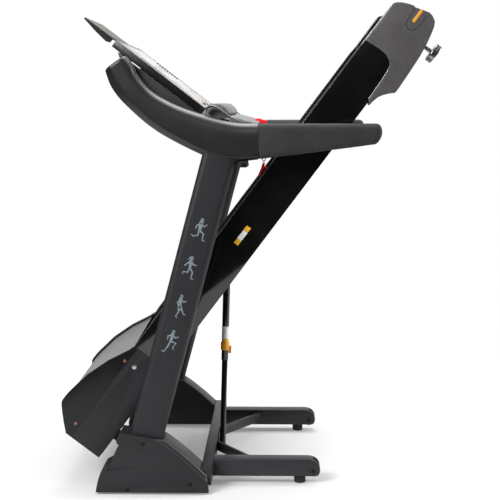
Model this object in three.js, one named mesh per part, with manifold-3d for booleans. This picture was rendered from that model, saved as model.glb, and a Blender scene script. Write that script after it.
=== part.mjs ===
// A folding motorised treadmill, standing folded. Millimetres, +Z up, the user faces -X, +Y is the
// user's right. The deck is drawn flat in its own frame (u along it, v above its rails) and turned
// up about the fold shaft. At the end the whole group is centred over the floor.
import * as THREE from "three";
import { mergeVertices } from "three/addons/utils/BufferGeometryUtils.js";
import Module from "manifold-3d";

const wasm = await Module();
wasm.setup();

// ---- clearances --------------------------------------------------------------------------------
const GAP = 0.3; // between pieces that touch
const RUNNING = 0.3; // radial, round a turning or sliding piece
const CUTOUT = 1; // round a tube that passes through a moulded wall

// ---- widths: the deck's own, and what stands beside it -------------------------------------------
const DECK_HALF_WIDTH = 310;
const MEMBER_WIDTH = 26; // the deck's side tubes
const RAIL_WIDTH = 70;
const SIDE_PLAY = 4; // between the deck's side tube and the skin over it
const DECK_TO_UPRIGHT = 80; // from the deck's side to the middle of an upright
const MEMBER_OUTER_Y = DECK_HALF_WIDTH - SIDE_PLAY;
const memberInner = MEMBER_OUTER_Y - MEMBER_WIDTH;
const RAIL_INNER_Y = DECK_HALF_WIDTH - RAIL_WIDTH;
const UPRIGHT_Y = DECK_HALF_WIDTH + DECK_TO_UPRIGHT;

// ---- base frame --------------------------------------------------------------------------------
const PAD_HEIGHT = 23.5; // rubber pads lift the steel frame off the floor
const PAD_RADIUS = 17;
const FRAME_HEIGHT = 50; // height of every base tube
const FRAME_TOP = PAD_HEIGHT + FRAME_HEIGHT;
const CROSS_X = -220; // rear face of the rear cross tube
const CROSS_DEPTH = 30;
const FRONT_CROSS_X = -480;
const FRONT_CROSS_DEPTH = 25;
const SIDE_TUBE_Y = UPRIGHT_Y; // centre of the tube inside each base cover
const SIDE_TUBE_WIDTH = 40;
const SIDE_TUBE_FRONT = -512;
const LEG_Y = 295;
const LEG_WIDTH = 50;
const WHEEL = { x: 77.3, z: 38.8, radius: 21, width: 24, axle: 4 };
const LEG_NOSE = 98; // rear tip of the leg, round the wheel
const REAR_PAD_X = 38;
const FRONT_PAD_X = -470;
const BRACE_HEIGHT = 30;
const BRACE_WIDTH = 20;
const BRACE_ON_LEG_X = -100;
const BRACE_ON_CROSS_Y = 80;
const WALL = 2.5; // steel tube wall

// ---- uprights and base covers ------------------------------------------------------------------
const UPRIGHT_WIDTH = 98;
const UPRIGHT_THICK = 50;
const UPRIGHT_ROUND = 18;
const UPRIGHT_LEAN = THREE.MathUtils.degToRad(14.9);
const UPRIGHT_FOOT_X = -433; // centre of the upright where it stands on the side tube
const UPRIGHT_TOP = 1020;
const COVER_INNER_Y = UPRIGHT_Y - 57;
const COVER_OUTER_Y = UPRIGHT_Y + 40;
const COVER_WALL = 3;
const CROSS_HALF_SPAN = COVER_OUTER_Y - 18;

// ---- console -----------------------------------------------------------------------------------
const DRAWN_TOP = 1020; // the upright height at which the console's outlines are drawn
const ARM_INNER_Y = UPRIGHT_Y - 40;
const ARM_OUTER_Y = UPRIGHT_Y + 30;
const ARM_WALL = 4;
const SEAM_X = -83; // where the moulded arm ends and the foam grip starts
const GRIP_TOP = 1070;
const GRIP_INNER_Y = ARM_INNER_Y + 18;
const GRIP_LENGTH = 352;
const PANEL_FOOT = [-239, 1112]; // rear lower corner of the display's face
const PANEL_SLOPE = THREE.MathUtils.degToRad(37.5);
const PANEL_LENGTH = 325;
const PANEL_THICK = 22;
const PANEL_HALF_WIDTH = ARM_INNER_Y - 50;
const FACE_THICK = 3;
const FACE_MARGIN = 8;
const BUTTON_RADIUS = 11;
const BUTTON_TRAVEL = 1.5;
const BUTTON_HEIGHT = 6;
const BUTTON_Y = 60;
const BUTTON_UP = 28; // distance up the panel from its foot
const REST_HALF_WIDTH = 180;
const REST_LENGTH = 124;
const REST_THICK = 4;
const REST_SLOPE = THREE.MathUtils.degToRad(37);
const REST_BARREL = 6;
const REST_STUB = 3;

// ---- safety key --------------------------------------------------------------------------------
const KEY_HALF_WIDTH = 15;
const KEY_POCKET = 10;
const CORD_RADIUS = 1.5;
const STRAND_FRONT_X = -78;
const STRAND_REAR_X = -67;

// ---- deck --------------------------------------------------------------------------------------
const DECK_SLOPE = THREE.MathUtils.degToRad(53);
const DECK_CORNER = [-654, 141.5]; // front top corner of the deck, folded
const DECK_DEPTH = 115;
const HOOD_END = 338;
const RAIL_END = 1460; // the rear end caps, roller and feet lie behind this
const MEMBER_TOP = -12;
const MEMBER_LENGTH = RAIL_END + 110;
const LEDGE_TOP = -42; // ledge that carries the board's rubber blocks
const LEDGE_INNER_Y = RAIL_INNER_Y + 4;
const RAIL_THICK = 10;
const SKIRT_THICK = 3;
const BELT_TOP = -8;
const BELT_THICK = 2.5;
const BELT_HALF_WIDTH = RAIL_INNER_Y - 15;
const ROLLER_RADIUS = 25;
const FRONT_ROLLER_U = 285;
const REAR_ROLLER_U = RAIL_END + 75;
const ROLLER_AXLE = 8;
const rollerV = BELT_TOP - BELT_THICK - GAP - ROLLER_RADIUS;
const beltUnder = rollerV - ROLLER_RADIUS - GAP - BELT_THICK;
const BOARD_THICK = 18;
const BOARD_HALF_WIDTH = memberInner - 18;
const FOLD_PIVOT = [77.5, -147]; // in the deck's own frame
const PIVOT_RADIUS = 8;
const EAR_RADIUS = 18;
const EAR_THICK = 6;
const DECK_EAR_Y = memberInner - 18;
const BASE_EAR_Y = DECK_EAR_Y + EAR_THICK + 1;
const STRUT_UPPER = [648, -92]; // in the deck's own frame
const STRUT_LOWER = [-207, 23.5];
const STRUT_TUBE_RADIUS = 9.3;
const SLEEVE_RADIUS = 11.2;
const SLEEVE_WALL = 1.4;
const STRUT_TUBE_END = 300; // along the strut from its lower pin
const SLEEVE_START = 283;
const STRUT_EYE_RADIUS = 9;
const STRUT_EYE_WIDTH = 20;
const STRUT_EAR_GAP = 26;
const COLLAR_START = 316;
const COLLAR_LENGTH = 24;
const LEVELLER_U = RAIL_END + 88;
const LEVELLER_BOTTOM = -190.5;
const LEVELLER_DISC = { radius: 28, thick: 18 };
const STUD_RADIUS = 6;

// ---- drive -------------------------------------------------------------------------------------
const MOTOR = { u: 120, v: -38, radius: 46, inner: -150, outer: 90 };
const MOTOR_PULLEY_RADIUS = 16;
const ROLLER_PULLEY_RADIUS = 35;
const PULLEY_Y = 18 - memberInner;
const PULLEY_WIDTH = 22;
const DRIVE_BELT_THICK = 4;

// ---- colours -----------------------------------------------------------------------------------
const paint = (color, roughness, metalness = 0) =>
  new THREE.MeshStandardMaterial({ color, roughness, metalness });
const CHARCOAL = paint(0x2d2d31, 0.5, 0.3);
const COVER = paint(0x303034, 0.6);
const CONSOLE = paint(0x2a2a2b, 0.45);
const GLOSS = paint(0x050506, 0.15);
const SILVER = paint(0x8f8c8c, 0.4, 0.6);
const RUBBER = paint(0x151515, 0.9);
const STEEL = paint(0xb8b8ba, 0.3, 0.9);
const FOAM = paint(0x1e1e1f, 0.95);
const RED = paint(0xd4121a, 0.4);
const ORANGE = paint(0xe8871e, 0.5);
const WOOD = paint(0x6b5238, 0.8);

// ---- shape helpers -----------------------------------------------------------------------------
const root = new THREE.Group();
const base = new THREE.Group();
const head = new THREE.Group(); // the console, which rides up and down the uprights' lean
const deck = new THREE.Group();
root.add(base, head, deck);
const headRise = UPRIGHT_TOP - DRAWN_TOP;
head.position.set(headRise * Math.tan(UPRIGHT_LEAN), 0, headRise);

const asShape = (outline) =>
  outline instanceof THREE.Shape ? outline : new THREE.Shape(outline.map(([x, y]) => new THREE.Vector2(x, y)));

// A prism whose outline lies in the X-Z plane, between two Y values in either order.
function prismY(outline, ya, yb, segments = 8) {
  const [y0, y1] = [Math.min(ya, yb), Math.max(ya, yb)];
  const options = { depth: y1 - y0, bevelEnabled: false, curveSegments: segments };
  return new THREE.ExtrudeGeometry(asShape(outline), options)
    .rotateX(Math.PI / 2)
    .translate(0, y1, 0);
}

// A prism whose outline lies in the X-Y plane.
function prismZ(outline, z0, z1, segments = 8) {
  const options = { depth: z1 - z0, bevelEnabled: false, curveSegments: segments };
  return new THREE.ExtrudeGeometry(asShape(outline), options).translate(0, 0, z0);
}

function box(x0, x1, ya, yb, z0, z1) {
  return new THREE.BoxGeometry(x1 - x0, Math.abs(yb - ya), z1 - z0).translate(
    (x0 + x1) / 2,
    (ya + yb) / 2,
    (z0 + z1) / 2,
  );
}

// A rectangular steel tube along Y, open at both ends, and its bore alone.
const boreY = (x0, x1, half, z0, z1) =>
  box(x0 + WALL, x1 - WALL, -half - 1, half + 1, z0 + WALL, z1 - WALL);
const tubeY = (x0, x1, half, z0, z1) =>
  cut(box(x0, x1, -half, half, z0, z1), boreY(x0, x1, half, z0, z1));

function rodY(x, z, radius, ya, yb, segments = 24) {
  return new THREE.CylinderGeometry(radius, radius, Math.abs(yb - ya), segments).translate(
    x,
    (ya + yb) / 2,
    z,
  );
}

function rodZ(x, y, radius, z0, z1, segments = 24) {
  return new THREE.CylinderGeometry(radius, radius, z1 - z0, segments)
    .rotateX(Math.PI / 2)
    .translate(x, y, (z0 + z1) / 2);
}

function solid(geometry) {
  const bare = geometry.clone();
  bare.deleteAttribute("normal");
  bare.deleteAttribute("uv");
  const merged = mergeVertices(bare, 1e-4);
  return new wasm.Manifold(
    new wasm.Mesh({
      numProp: 3,
      vertProperties: merged.attributes.position.array,
      triVerts: new Uint32Array(merged.index.array),
    }),
  );
}

function surface(made) {
  const mesh = made.getMesh();
  const geometry = new THREE.BufferGeometry();
  geometry.setAttribute("position", new THREE.BufferAttribute(mesh.vertProperties, 3));
  geometry.setIndex(new THREE.BufferAttribute(mesh.triVerts, 1));
  return geometry;
}

const cut = (from, ...tools) =>
  surface(tools.reduce((left, tool) => left.subtract(solid(tool)), solid(from)));
const join = (first, ...others) =>
  surface(others.reduce((sum, other) => sum.add(solid(other)), solid(first)));

// The outline moved inwards by one wall; the points run either way round.
function inset(points, wall) {
  const turn = Math.sign(THREE.ShapeUtils.area(points.map(([x, y]) => ({ x, y }))));
  return points.map((here, i) => {
    const before = points[(i + points.length - 1) % points.length];
    const after = points[(i + 1) % points.length];
    const a = new THREE.Vector2(here[0] - before[0], here[1] - before[1]).normalize();
    const b = new THREE.Vector2(after[0] - here[0], after[1] - here[1]).normalize();
    const normal = new THREE.Vector2(-a.y - b.y, a.x + b.x).normalize();
    const reach = wall / Math.max(0.3, normal.dot(new THREE.Vector2(-a.y, a.x)));
    return [here[0] + turn * normal.x * reach, here[1] + turn * normal.y * reach];
  });
}

// Points along a smooth curve through the given ones.
const smooth = (points, count) =>
  new THREE.SplineCurve(points.map(([x, y]) => new THREE.Vector2(x, y)))
    .getPoints(count)
    .map((p) => [p.x, p.y]);

// The band round two pulleys: the tangent loop at one distance outside both circles.
function loopOutline(a, b, clear) {
  const span = Math.hypot(b.x - a.x, b.z - a.z);
  const heading = Math.atan2(b.z - a.z, b.x - a.x);
  const lean = Math.asin((a.radius - b.radius) / span);
  const top = heading + Math.PI / 2 - lean;
  const bottom = heading - Math.PI / 2 + lean;
  const outline = new THREE.Path();
  outline.absarc(b.x, b.z, b.radius + clear, bottom, top, false);
  outline.absarc(a.x, a.z, a.radius + clear, top, bottom + 2 * Math.PI, false);
  outline.closePath();
  return outline;
}

function bandY(a, b, inner, outer, ya, yb, segments = 12) {
  const ring = new THREE.Shape();
  ring.curves = loopOutline(a, b, outer).curves;
  ring.holes.push(loopOutline(a, b, inner));
  return prismY(ring, ya, yb, segments);
}

function add(group, name, geometry, material) {
  const mesh = new THREE.Mesh(geometry, material);
  mesh.name = name;
  group.add(mesh);
  return mesh;
}

const SIDES = [
  ["left", -1],
  ["right", 1],
];

// A point of the deck's own frame, in the folded part's X and Z.
const folded = ([u, v]) => [
  DECK_CORNER[0] + u * Math.cos(DECK_SLOPE) - v * Math.sin(DECK_SLOPE),
  DECK_CORNER[1] + u * Math.sin(DECK_SLOPE) + v * Math.cos(DECK_SLOPE),
];
const PIVOT = folded(FOLD_PIVOT);

// ---- base frame: two cross tubes, side tubes, legs and braces ------------------------------------
const crossFront = CROSS_X - CROSS_DEPTH;
add(
  base,
  "rear_cross_tube",
  tubeY(crossFront, CROSS_X, CROSS_HALF_SPAN, PAD_HEIGHT, FRAME_TOP),
  CHARCOAL,
);

const sideInner = SIDE_TUBE_Y - SIDE_TUBE_WIDTH / 2;
const sideOuter = SIDE_TUBE_Y + SIDE_TUBE_WIDTH / 2;
const frontCrossBack = FRONT_CROSS_X - FRONT_CROSS_DEPTH;
const frontCrossEnd = sideInner - GAP;
const frontCross = tubeY(frontCrossBack, FRONT_CROSS_X, frontCrossEnd, PAD_HEIGHT, FRAME_TOP);
const earOutline = () => {
  const shape = new THREE.Shape();
  shape.moveTo(frontCrossBack, FRAME_TOP - 1);
  shape.lineTo(FRONT_CROSS_X, FRAME_TOP - 1);
  shape.lineTo(PIVOT[0] + EAR_RADIUS, PIVOT[1]);
  shape.absarc(PIVOT[0], PIVOT[1], EAR_RADIUS, 0, Math.PI, false);
  return shape;
};
const baseEars = SIDES.map(([, side]) =>
  prismY(earOutline(), side * BASE_EAR_Y, side * (BASE_EAR_Y + EAR_THICK)),
);
const shaftHole = rodY(PIVOT[0], PIVOT[1], PIVOT_RADIUS + RUNNING, -DECK_HALF_WIDTH, DECK_HALF_WIDTH);
add(base, "front_cross_tube", cut(join(frontCross, ...baseEars), shaftHole), CHARCOAL);
const shaftEnd = BASE_EAR_Y + EAR_THICK + 6;
add(base, "fold_shaft", rodY(PIVOT[0], PIVOT[1], PIVOT_RADIUS, -shaftEnd, shaftEnd), STEEL);

// The base cover's outline; the side tube under it is mitred to stay inside.
const COVER_LINE = [
  [-554, 6],
  ...smooth([[-549, 34], [-541, 60], [-530, 79], [-509, 88]], 6),
  [-503, 111],
  [-483, 143],
  ...smooth([[-491, 150], [-492, 160], [-483, 180]], 4),
  [-357, 159],
  ...smooth([[-348, 153], [-331, 141], [-287, 105], [-232, 54]], 6),
  [-227, 6],
];
const legInner = LEG_Y - LEG_WIDTH / 2;
const legOuter = LEG_Y + LEG_WIDTH / 2;
function legOutline() {
  const shape = new THREE.Shape();
  shape.moveTo(CROSS_X + GAP, PAD_HEIGHT);
  shape.lineTo(WHEEL.x + 8, PAD_HEIGHT);
  shape.quadraticCurveTo(LEG_NOSE, PAD_HEIGHT + 2, LEG_NOSE, WHEEL.z + 4);
  shape.bezierCurveTo(LEG_NOSE, FRAME_TOP - 10, WHEEL.x + 4, FRAME_TOP, WHEEL.x - 18, FRAME_TOP);
  shape.lineTo(CROSS_X + GAP, FRAME_TOP);
  return shape;
}
for (const [name, side] of SIDES) {
  const tube = box(
    SIDE_TUBE_FRONT, crossFront - GAP, side * sideInner, side * sideOuter, PAD_HEIGHT, FRAME_TOP,
  );
  const bore = box(
    SIDE_TUBE_FRONT - 1, crossFront + 1, side * (sideInner + WALL), side * (sideOuter - WALL),
    PAD_HEIGHT + WALL, FRAME_TOP - WALL,
  );
  const room = prismY(inset(COVER_LINE, COVER_WALL + CUTOUT), side * sideInner, side * sideOuter);
  const mitred = surface(solid(cut(tube, bore)).intersect(solid(room)));
  add(base, `side_tube_${name}`, mitred, CHARCOAL);

  const slotHalf = WHEEL.width / 2 + 1.5;
  const slot = box(
    WHEEL.x - WHEEL.radius - 2.5, LEG_NOSE + 5, side * LEG_Y - slotHalf, side * LEG_Y + slotHalf,
    PAD_HEIGHT - 1, FRAME_TOP - 3,
  );
  const axleHole = rodY(
    WHEEL.x, WHEEL.z, WHEEL.axle + RUNNING, side * (legInner - 1), side * (legOuter + 1), 16,
  );
  const leg = prismY(legOutline(), side * legInner, side * legOuter);
  const legBore = box(
    CROSS_X, WHEEL.x - WHEEL.radius - 8, side * (legInner + WALL), side * (legOuter - WALL),
    PAD_HEIGHT + WALL, FRAME_TOP - WALL,
  );
  add(base, `leg_${name}`, cut(leg, legBore, slot, axleHole), CHARCOAL);

  const wheel = rodY(
    WHEEL.x, WHEEL.z, WHEEL.radius, side * LEG_Y - WHEEL.width / 2, side * LEG_Y + WHEEL.width / 2, 32,
  );
  const axle = rodY(WHEEL.x, WHEEL.z, WHEEL.axle, side * (legInner - 3), side * (legOuter + 3), 16);
  add(base, `transport_wheel_${name}`, join(wheel, axle), RUBBER);

  const half = BRACE_WIDTH / 2;
  const braceX = CROSS_X + GAP;
  const braceEnd = side * (legInner - GAP);
  const brace = [
    [braceX, side * (BRACE_ON_CROSS_Y - half)],
    [BRACE_ON_LEG_X + half, braceEnd],
    [BRACE_ON_LEG_X - half, braceEnd],
    [braceX, side * (BRACE_ON_CROSS_Y + half)],
  ];
  const braceLow = PAD_HEIGHT + (FRAME_HEIGHT - BRACE_HEIGHT) / 2;
  add(base, `brace_${name}`, prismZ(brace, braceLow, braceLow + BRACE_HEIGHT), CHARCOAL);

  const rearPad = rodZ(REAR_PAD_X, side * LEG_Y, PAD_RADIUS, 0, PAD_HEIGHT - GAP);
  add(base, `rear_pad_${name}`, rearPad, RUBBER);
  const frontPad = rodZ(FRONT_PAD_X, side * SIDE_TUBE_Y, PAD_RADIUS, 0, PAD_HEIGHT - GAP);
  add(base, `front_pad_${name}`, frontPad, RUBBER);
}

// ---- uprights: leaning flat-sided steel tubes that stand on the side tubes -----------------------
// The tube along its own lean, grown outwards by a clearance, between two heights.
function uprightBody(side, grow, z0, z1) {
  const w = UPRIGHT_WIDTH / 2 + grow;
  const t = UPRIGHT_THICK / 2 + grow;
  const r = Math.max(UPRIGHT_ROUND + grow, 1);
  const shape = new THREE.Shape();
  shape.absarc(w - r, t - r, r, 0, Math.PI / 2, false);
  shape.absarc(-w + r, t - r, r, Math.PI / 2, Math.PI, false);
  shape.absarc(-w + r, -t + r, r, Math.PI, 1.5 * Math.PI, false);
  shape.absarc(w - r, -t + r, r, 1.5 * Math.PI, 2 * Math.PI, false);
  const tube = prismZ(shape, -200, 1400, 5)
    .rotateY(UPRIGHT_LEAN)
    .translate(UPRIGHT_FOOT_X, side * UPRIGHT_Y, FRAME_TOP);
  const keep = box(-900, 400, side * 200, side * 600, z0, z1);
  return surface(solid(tube).intersect(solid(keep)));
}

// ---- base covers: moulded shells over the foot of each upright -----------------------------------
for (const [name, side] of SIDES) {
  const hollow = uprightBody(side, -WALL, 0, UPRIGHT_TOP + 10);
  const tube = uprightBody(side, 0, FRAME_TOP + GAP, UPRIGHT_TOP);
  add(base, `upright_${name}`, cut(tube, hollow), CHARCOAL);

  const inside = inset(COVER_LINE, COVER_WALL).map(([x, z]) => [x, z < 20 ? -10 : z]);
  const cavity = prismY(inside, side * (COVER_INNER_Y + COVER_WALL), side * (COVER_OUTER_Y - COVER_WALL));
  const shell = prismY(COVER_LINE, side * COVER_INNER_Y, side * COVER_OUTER_Y);
  const rearNotch = box(
    crossFront - CUTOUT, CROSS_X + 20, side * (COVER_INNER_Y - 10), side * (CROSS_HALF_SPAN + CUTOUT),
    -10, FRAME_TOP + CUTOUT,
  );
  const frontNotch = box(
    frontCrossBack - CUTOUT, FRONT_CROSS_X + CUTOUT, side * (COVER_INNER_Y - 10), side * SIDE_TUBE_Y,
    -10, FRAME_TOP + CUTOUT,
  );
  const mouth = uprightBody(side, CUTOUT, FRAME_TOP, 400);
  const cover = cut(shell, cavity, rearNotch, frontNotch, mouth);
  add(base, `base_cover_${name}`, cover, COVER);
}

// ---- console arms, grips and the body between them -----------------------------------------------
const ARM_UNDER = smooth(
  [[SEAM_X, 967], [-143, 961], [-180, 962], [-246, 982], [-369, 1047], [-455, 1119], [-497, 1170], [-515, 1216]],
  18,
);
const ARM_TOP = smooth(
  [[-454, 1257], [-438, 1237], [-424, 1206], [-384, 1161], [-320, 1124], [-243, 1096], [-151, 1073], [SEAM_X, GRIP_TOP]],
  16,
);
const ARM_LINE = [...ARM_UNDER, [-485, 1245], ...ARM_TOP];
const gripStart = SEAM_X + GAP;
const gripEnd = SEAM_X + GRIP_LENGTH;
function gripOutline() {
  const shape = new THREE.Shape();
  shape.moveTo(gripStart, 967);
  shape.lineTo(gripEnd - 26, 1006);
  shape.bezierCurveTo(gripEnd - 4, 1010, gripEnd + 2, 1036, gripEnd, 1052);
  shape.quadraticCurveTo(gripEnd - 2, GRIP_TOP, gripEnd - 16, GRIP_TOP);
  shape.lineTo(gripStart, GRIP_TOP);
  return shape;
}
for (const [name, side] of SIDES) {
  const arm = prismY(ARM_LINE, side * ARM_INNER_Y, side * ARM_OUTER_Y);
  const cavity = prismY(
    inset(ARM_LINE, ARM_WALL), side * (ARM_INNER_Y + ARM_WALL), side * (ARM_OUTER_Y - ARM_WALL),
  );
  const socket = uprightBody(side, CUTOUT, 900, DRAWN_TOP + 5);
  add(head, `console_arm_${name}`, cut(arm, cavity, socket), CONSOLE);
  const grip = prismY(gripOutline(), side * GRIP_INNER_Y, side * ARM_OUTER_Y);
  add(head, `grip_${name}`, grip, FOAM);
}

// A point of the display's own frame: "up" along its face from its foot, "out" above the face.
const onPanel = (up, out) => [
  PANEL_FOOT[0] - up * Math.cos(PANEL_SLOPE) + out * Math.sin(PANEL_SLOPE),
  PANEL_FOOT[1] + up * Math.sin(PANEL_SLOPE) + out * Math.cos(PANEL_SLOPE),
];
const bodyHalf = ARM_INNER_Y - GAP;
const TRAY_LINE = [
  onPanel(8, -PANEL_THICK - GAP),
  onPanel(PANEL_LENGTH - 30, -PANEL_THICK - GAP),
  [-478, 1246],
  [-500, 1222],
  ...smooth([[-492, 1190], [-455, 1146], [-400, 1112], [-330, 1088], [-262, 1078]], 8),
];
const trayHollow = [
  ...inset(TRAY_LINE, COVER_WALL).slice(4),
  onPanel(14, 10 - PANEL_THICK),
  onPanel(PANEL_LENGTH - 34, 10 - PANEL_THICK),
];
add(
  head,
  "console_body",
  cut(prismY(TRAY_LINE, -bodyHalf, bodyHalf), prismY(trayHollow, -bodyHalf + 4, bodyHalf - 4)),
  CONSOLE,
);

// ---- display: housing with a recessed gloss face, two buttons and a folding tablet rest ----------
const restPivot = onPanel(PANEL_LENGTH + REST_BARREL + 2, -8);
const housingLine = [
  onPanel(0, -6),
  onPanel(3, 0),
  onPanel(PANEL_LENGTH, 0),
  onPanel(PANEL_LENGTH, -PANEL_THICK),
  onPanel(3, -PANEL_THICK),
  onPanel(0, -PANEL_THICK + 4),
];
const faceLow = FACE_MARGIN;
const faceHigh = PANEL_LENGTH - FACE_MARGIN;
const slab = (low, high, under, over) => [
  onPanel(low, over),
  onPanel(high, over),
  onPanel(high, under),
  onPanel(low, under),
];
const faceHalf = PANEL_HALF_WIDTH - FACE_MARGIN;
const recess = prismY(
  slab(faceLow - GAP, faceHigh + GAP, -FACE_THICK, 5), -faceHalf - GAP, faceHalf + GAP,
);
// A round piece square to the panel, between two levels.
function panelRod(up, y, radius, under, over, segments = 24) {
  const [x, z] = onPanel(up, (under + over) / 2);
  return new THREE.CylinderGeometry(radius, radius, over - under, segments)
    .rotateX(Math.PI / 2)
    .rotateY(PANEL_SLOPE)
    .translate(x, y, z);
}
const buttonYs = { start_button: BUTTON_Y, stop_button: -BUTTON_Y };
const buttonUnder = -BUTTON_HEIGHT + BUTTON_TRAVEL;
const wells = Object.values(buttonYs).map((y) =>
  panelRod(BUTTON_UP, y, BUTTON_RADIUS + 1, buttonUnder - BUTTON_TRAVEL - GAP, 5),
);
const lugs = SIDES.flatMap(([, side]) => {
  const near = REST_HALF_WIDTH - 28;
  const lug = prismY(
    [
      onPanel(PANEL_LENGTH - 2, -2),
      onPanel(PANEL_LENGTH + REST_BARREL + 6, -3),
      onPanel(PANEL_LENGTH + REST_BARREL + 6, -14),
      onPanel(PANEL_LENGTH - 2, -19),
    ],
    side * (near + 1),
    side * (near + 12),
  );
  return [lug, rodY(...restPivot, REST_STUB, side * (near - 8), side * (near + 2), 16)];
});
const housing = join(prismY(housingLine, -PANEL_HALF_WIDTH, PANEL_HALF_WIDTH), ...lugs);
add(head, "display_housing", cut(housing, recess, ...wells), CONSOLE);
const face = prismY(slab(faceLow, faceHigh, -FACE_THICK + GAP, 0), -faceHalf, faceHalf);
add(head, "display_face", cut(face, ...wells), GLOSS);
for (const [name, y] of Object.entries(buttonYs)) {
  const cap = panelRod(BUTTON_UP, y, BUTTON_RADIUS, buttonUnder, BUTTON_TRAVEL);
  add(head, name, cap, name === "stop_button" ? RED : SILVER);
}

const barrelHalf = REST_HALF_WIDTH - 28;
const restTip = [
  restPivot[0] - REST_LENGTH * Math.cos(REST_SLOPE),
  restPivot[1] + REST_LENGTH * Math.sin(REST_SLOPE),
];
const restNormal = [Math.sin(REST_SLOPE) * REST_THICK / 2, Math.cos(REST_SLOPE) * REST_THICK / 2];
const along = (share) => [
  restPivot[0] + (restTip[0] - restPivot[0]) * share,
  restPivot[1] + (restTip[1] - restPivot[1]) * share,
];
const plate = (from, to) => [
  [along(from)[0] - restNormal[0], along(from)[1] - restNormal[1]],
  [along(from)[0] + restNormal[0], along(from)[1] + restNormal[1]],
  [along(to)[0] + restNormal[0], along(to)[1] + restNormal[1]],
  [along(to)[0] - restNormal[0], along(to)[1] - restNormal[1]],
];
const neck = (REST_BARREL + 9) / REST_LENGTH; // the plate widens once it is clear of the lugs
const restBody = join(
  rodY(...restPivot, REST_BARREL, -barrelHalf, barrelHalf, 24),
  prismY(plate(0, neck + 0.01), -barrelHalf, barrelHalf),
  prismY(plate(neck, 1), -REST_HALF_WIDTH, REST_HALF_WIDTH),
);
const stubHole = SIDES.map(([, side]) =>
  rodY(...restPivot, REST_STUB + RUNNING, side * (barrelHalf - 9), side * (barrelHalf + 1), 16),
);
add(head, "tablet_rest", cut(restBody, ...stubHole), CONSOLE);

// ---- trim lip along the foot of the display, and the bridge that carries the safety key ----------
const TRIM_LINE = [
  [-249, 1090], [-241, 1103], [-233, 1110], [-224, 1127], [-192, 1125], [-176, 1112], [-168, 1098],
  [-172, 1086], [-205, 1080], [-236, 1084],
];
const panelKeepOut = slab(-GAP - 1, 60, -PANEL_THICK - 1, 3);
const trayKeepOut = [[-300, 1060], [-255, 1060], onPanel(6, -PANEL_THICK - 1), [-300, 1160]];
add(
  head,
  "console_trim",
  cut(
    prismY(TRIM_LINE, -bodyHalf + 4, bodyHalf - 4),
    prismY(panelKeepOut, -PANEL_HALF_WIDTH - 1, PANEL_HALF_WIDTH + 1),
    prismY(trayKeepOut, -bodyHalf, bodyHalf),
  ),
  SILVER,
);
const BRIDGE_REAR = -84;
const BRIDGE_LINE = [
  [-166, 1091], [BRIDGE_REAR, 1069], [BRIDGE_REAR, 1052], [-100, 1046], [-166, 1060],
];
const keyPocket = box(
  -101, BRIDGE_REAR + 10, -KEY_HALF_WIDTH - 1, KEY_HALF_WIDTH + 1, 1068 - KEY_POCKET, 1100,
);
add(head, "hand_bridge", cut(prismY(BRIDGE_LINE, -bodyHalf, bodyHalf), keyPocket), CONSOLE);

const KEY_LINE = [
  [-100, 1069 - KEY_POCKET], [-100, 1077], [-88, 1079], [-76, 1075], [-62, 1071], [-62, 1063],
  [-80, 1063], [-85, 1069 - KEY_POCKET],
];
const strandBores = [STRAND_FRONT_X, STRAND_REAR_X].map((x) => rodZ(x, 0, CORD_RADIUS + RUNNING, 1050, 1066, 12));
add(
  head,
  "safety_key",
  cut(prismY(KEY_LINE, -KEY_HALF_WIDTH, KEY_HALF_WIDTH), ...strandBores),
  RED,
);

// The lanyard: one limp red cord, both ends in the key, its bight carrying the clip.
const LANYARD = [
  [-78, 0, 1065.6],
  [-78, 0, 1050],
  [-78.2, 0, 1030],
  [-78.4, 0, 1008],
  [-78.4, 0, 986],
  [-78.2, 0, 966],
  [-77.6, 0, 950],
  [-75.8, 0, 944.6],
  [-72.7, 0, 942.5],
  [-69.6, 0, 944.6],
  [-67.8, 0, 950],
  [-67.2, 0, 966],
  [-67, 0, 986],
  [-67, 0, 1008],
  [-67, 0, 1030],
  [-67, 0, 1050],
  [-67, 0, 1065.6],
];
const cordSection = new THREE.Shape().absarc(0, 0, CORD_RADIUS, 0, 2 * Math.PI, false);
const lanyardPath = new THREE.CatmullRomCurve3(LANYARD.map((p) => new THREE.Vector3(...p)));
add(
  head,
  "lanyard",
  new THREE.ExtrudeGeometry(cordSection, { steps: 56, curveSegments: 4, extrudePath: lanyardPath }),
  RED,
);

// The clip hangs on the bight by a ring; below it are the two arms of its jaw.
const clipRing = new THREE.TorusGeometry(4.6, 1.1, 8, 20)
  .rotateY(Math.PI / 2)
  .translate(-72.7, 0, 941.1);
const CLIP_LINE = [
  [-77, 938], [-69, 938], [-71, 928], [-63, 924], [-62, 921], [-74, 918], [-85, 897], [-92, 894],
  [-90, 903], [-82, 921],
];
add(head, "lanyard_clip", join(clipRing, prismY(CLIP_LINE, -5, 5)), RED);

// ---- deck: drawn flat in its own frame, then folded up -------------------------------------------
deck.position.set(DECK_CORNER[0], 0, DECK_CORNER[1]);
deck.rotation.y = -DECK_SLOPE;

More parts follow.
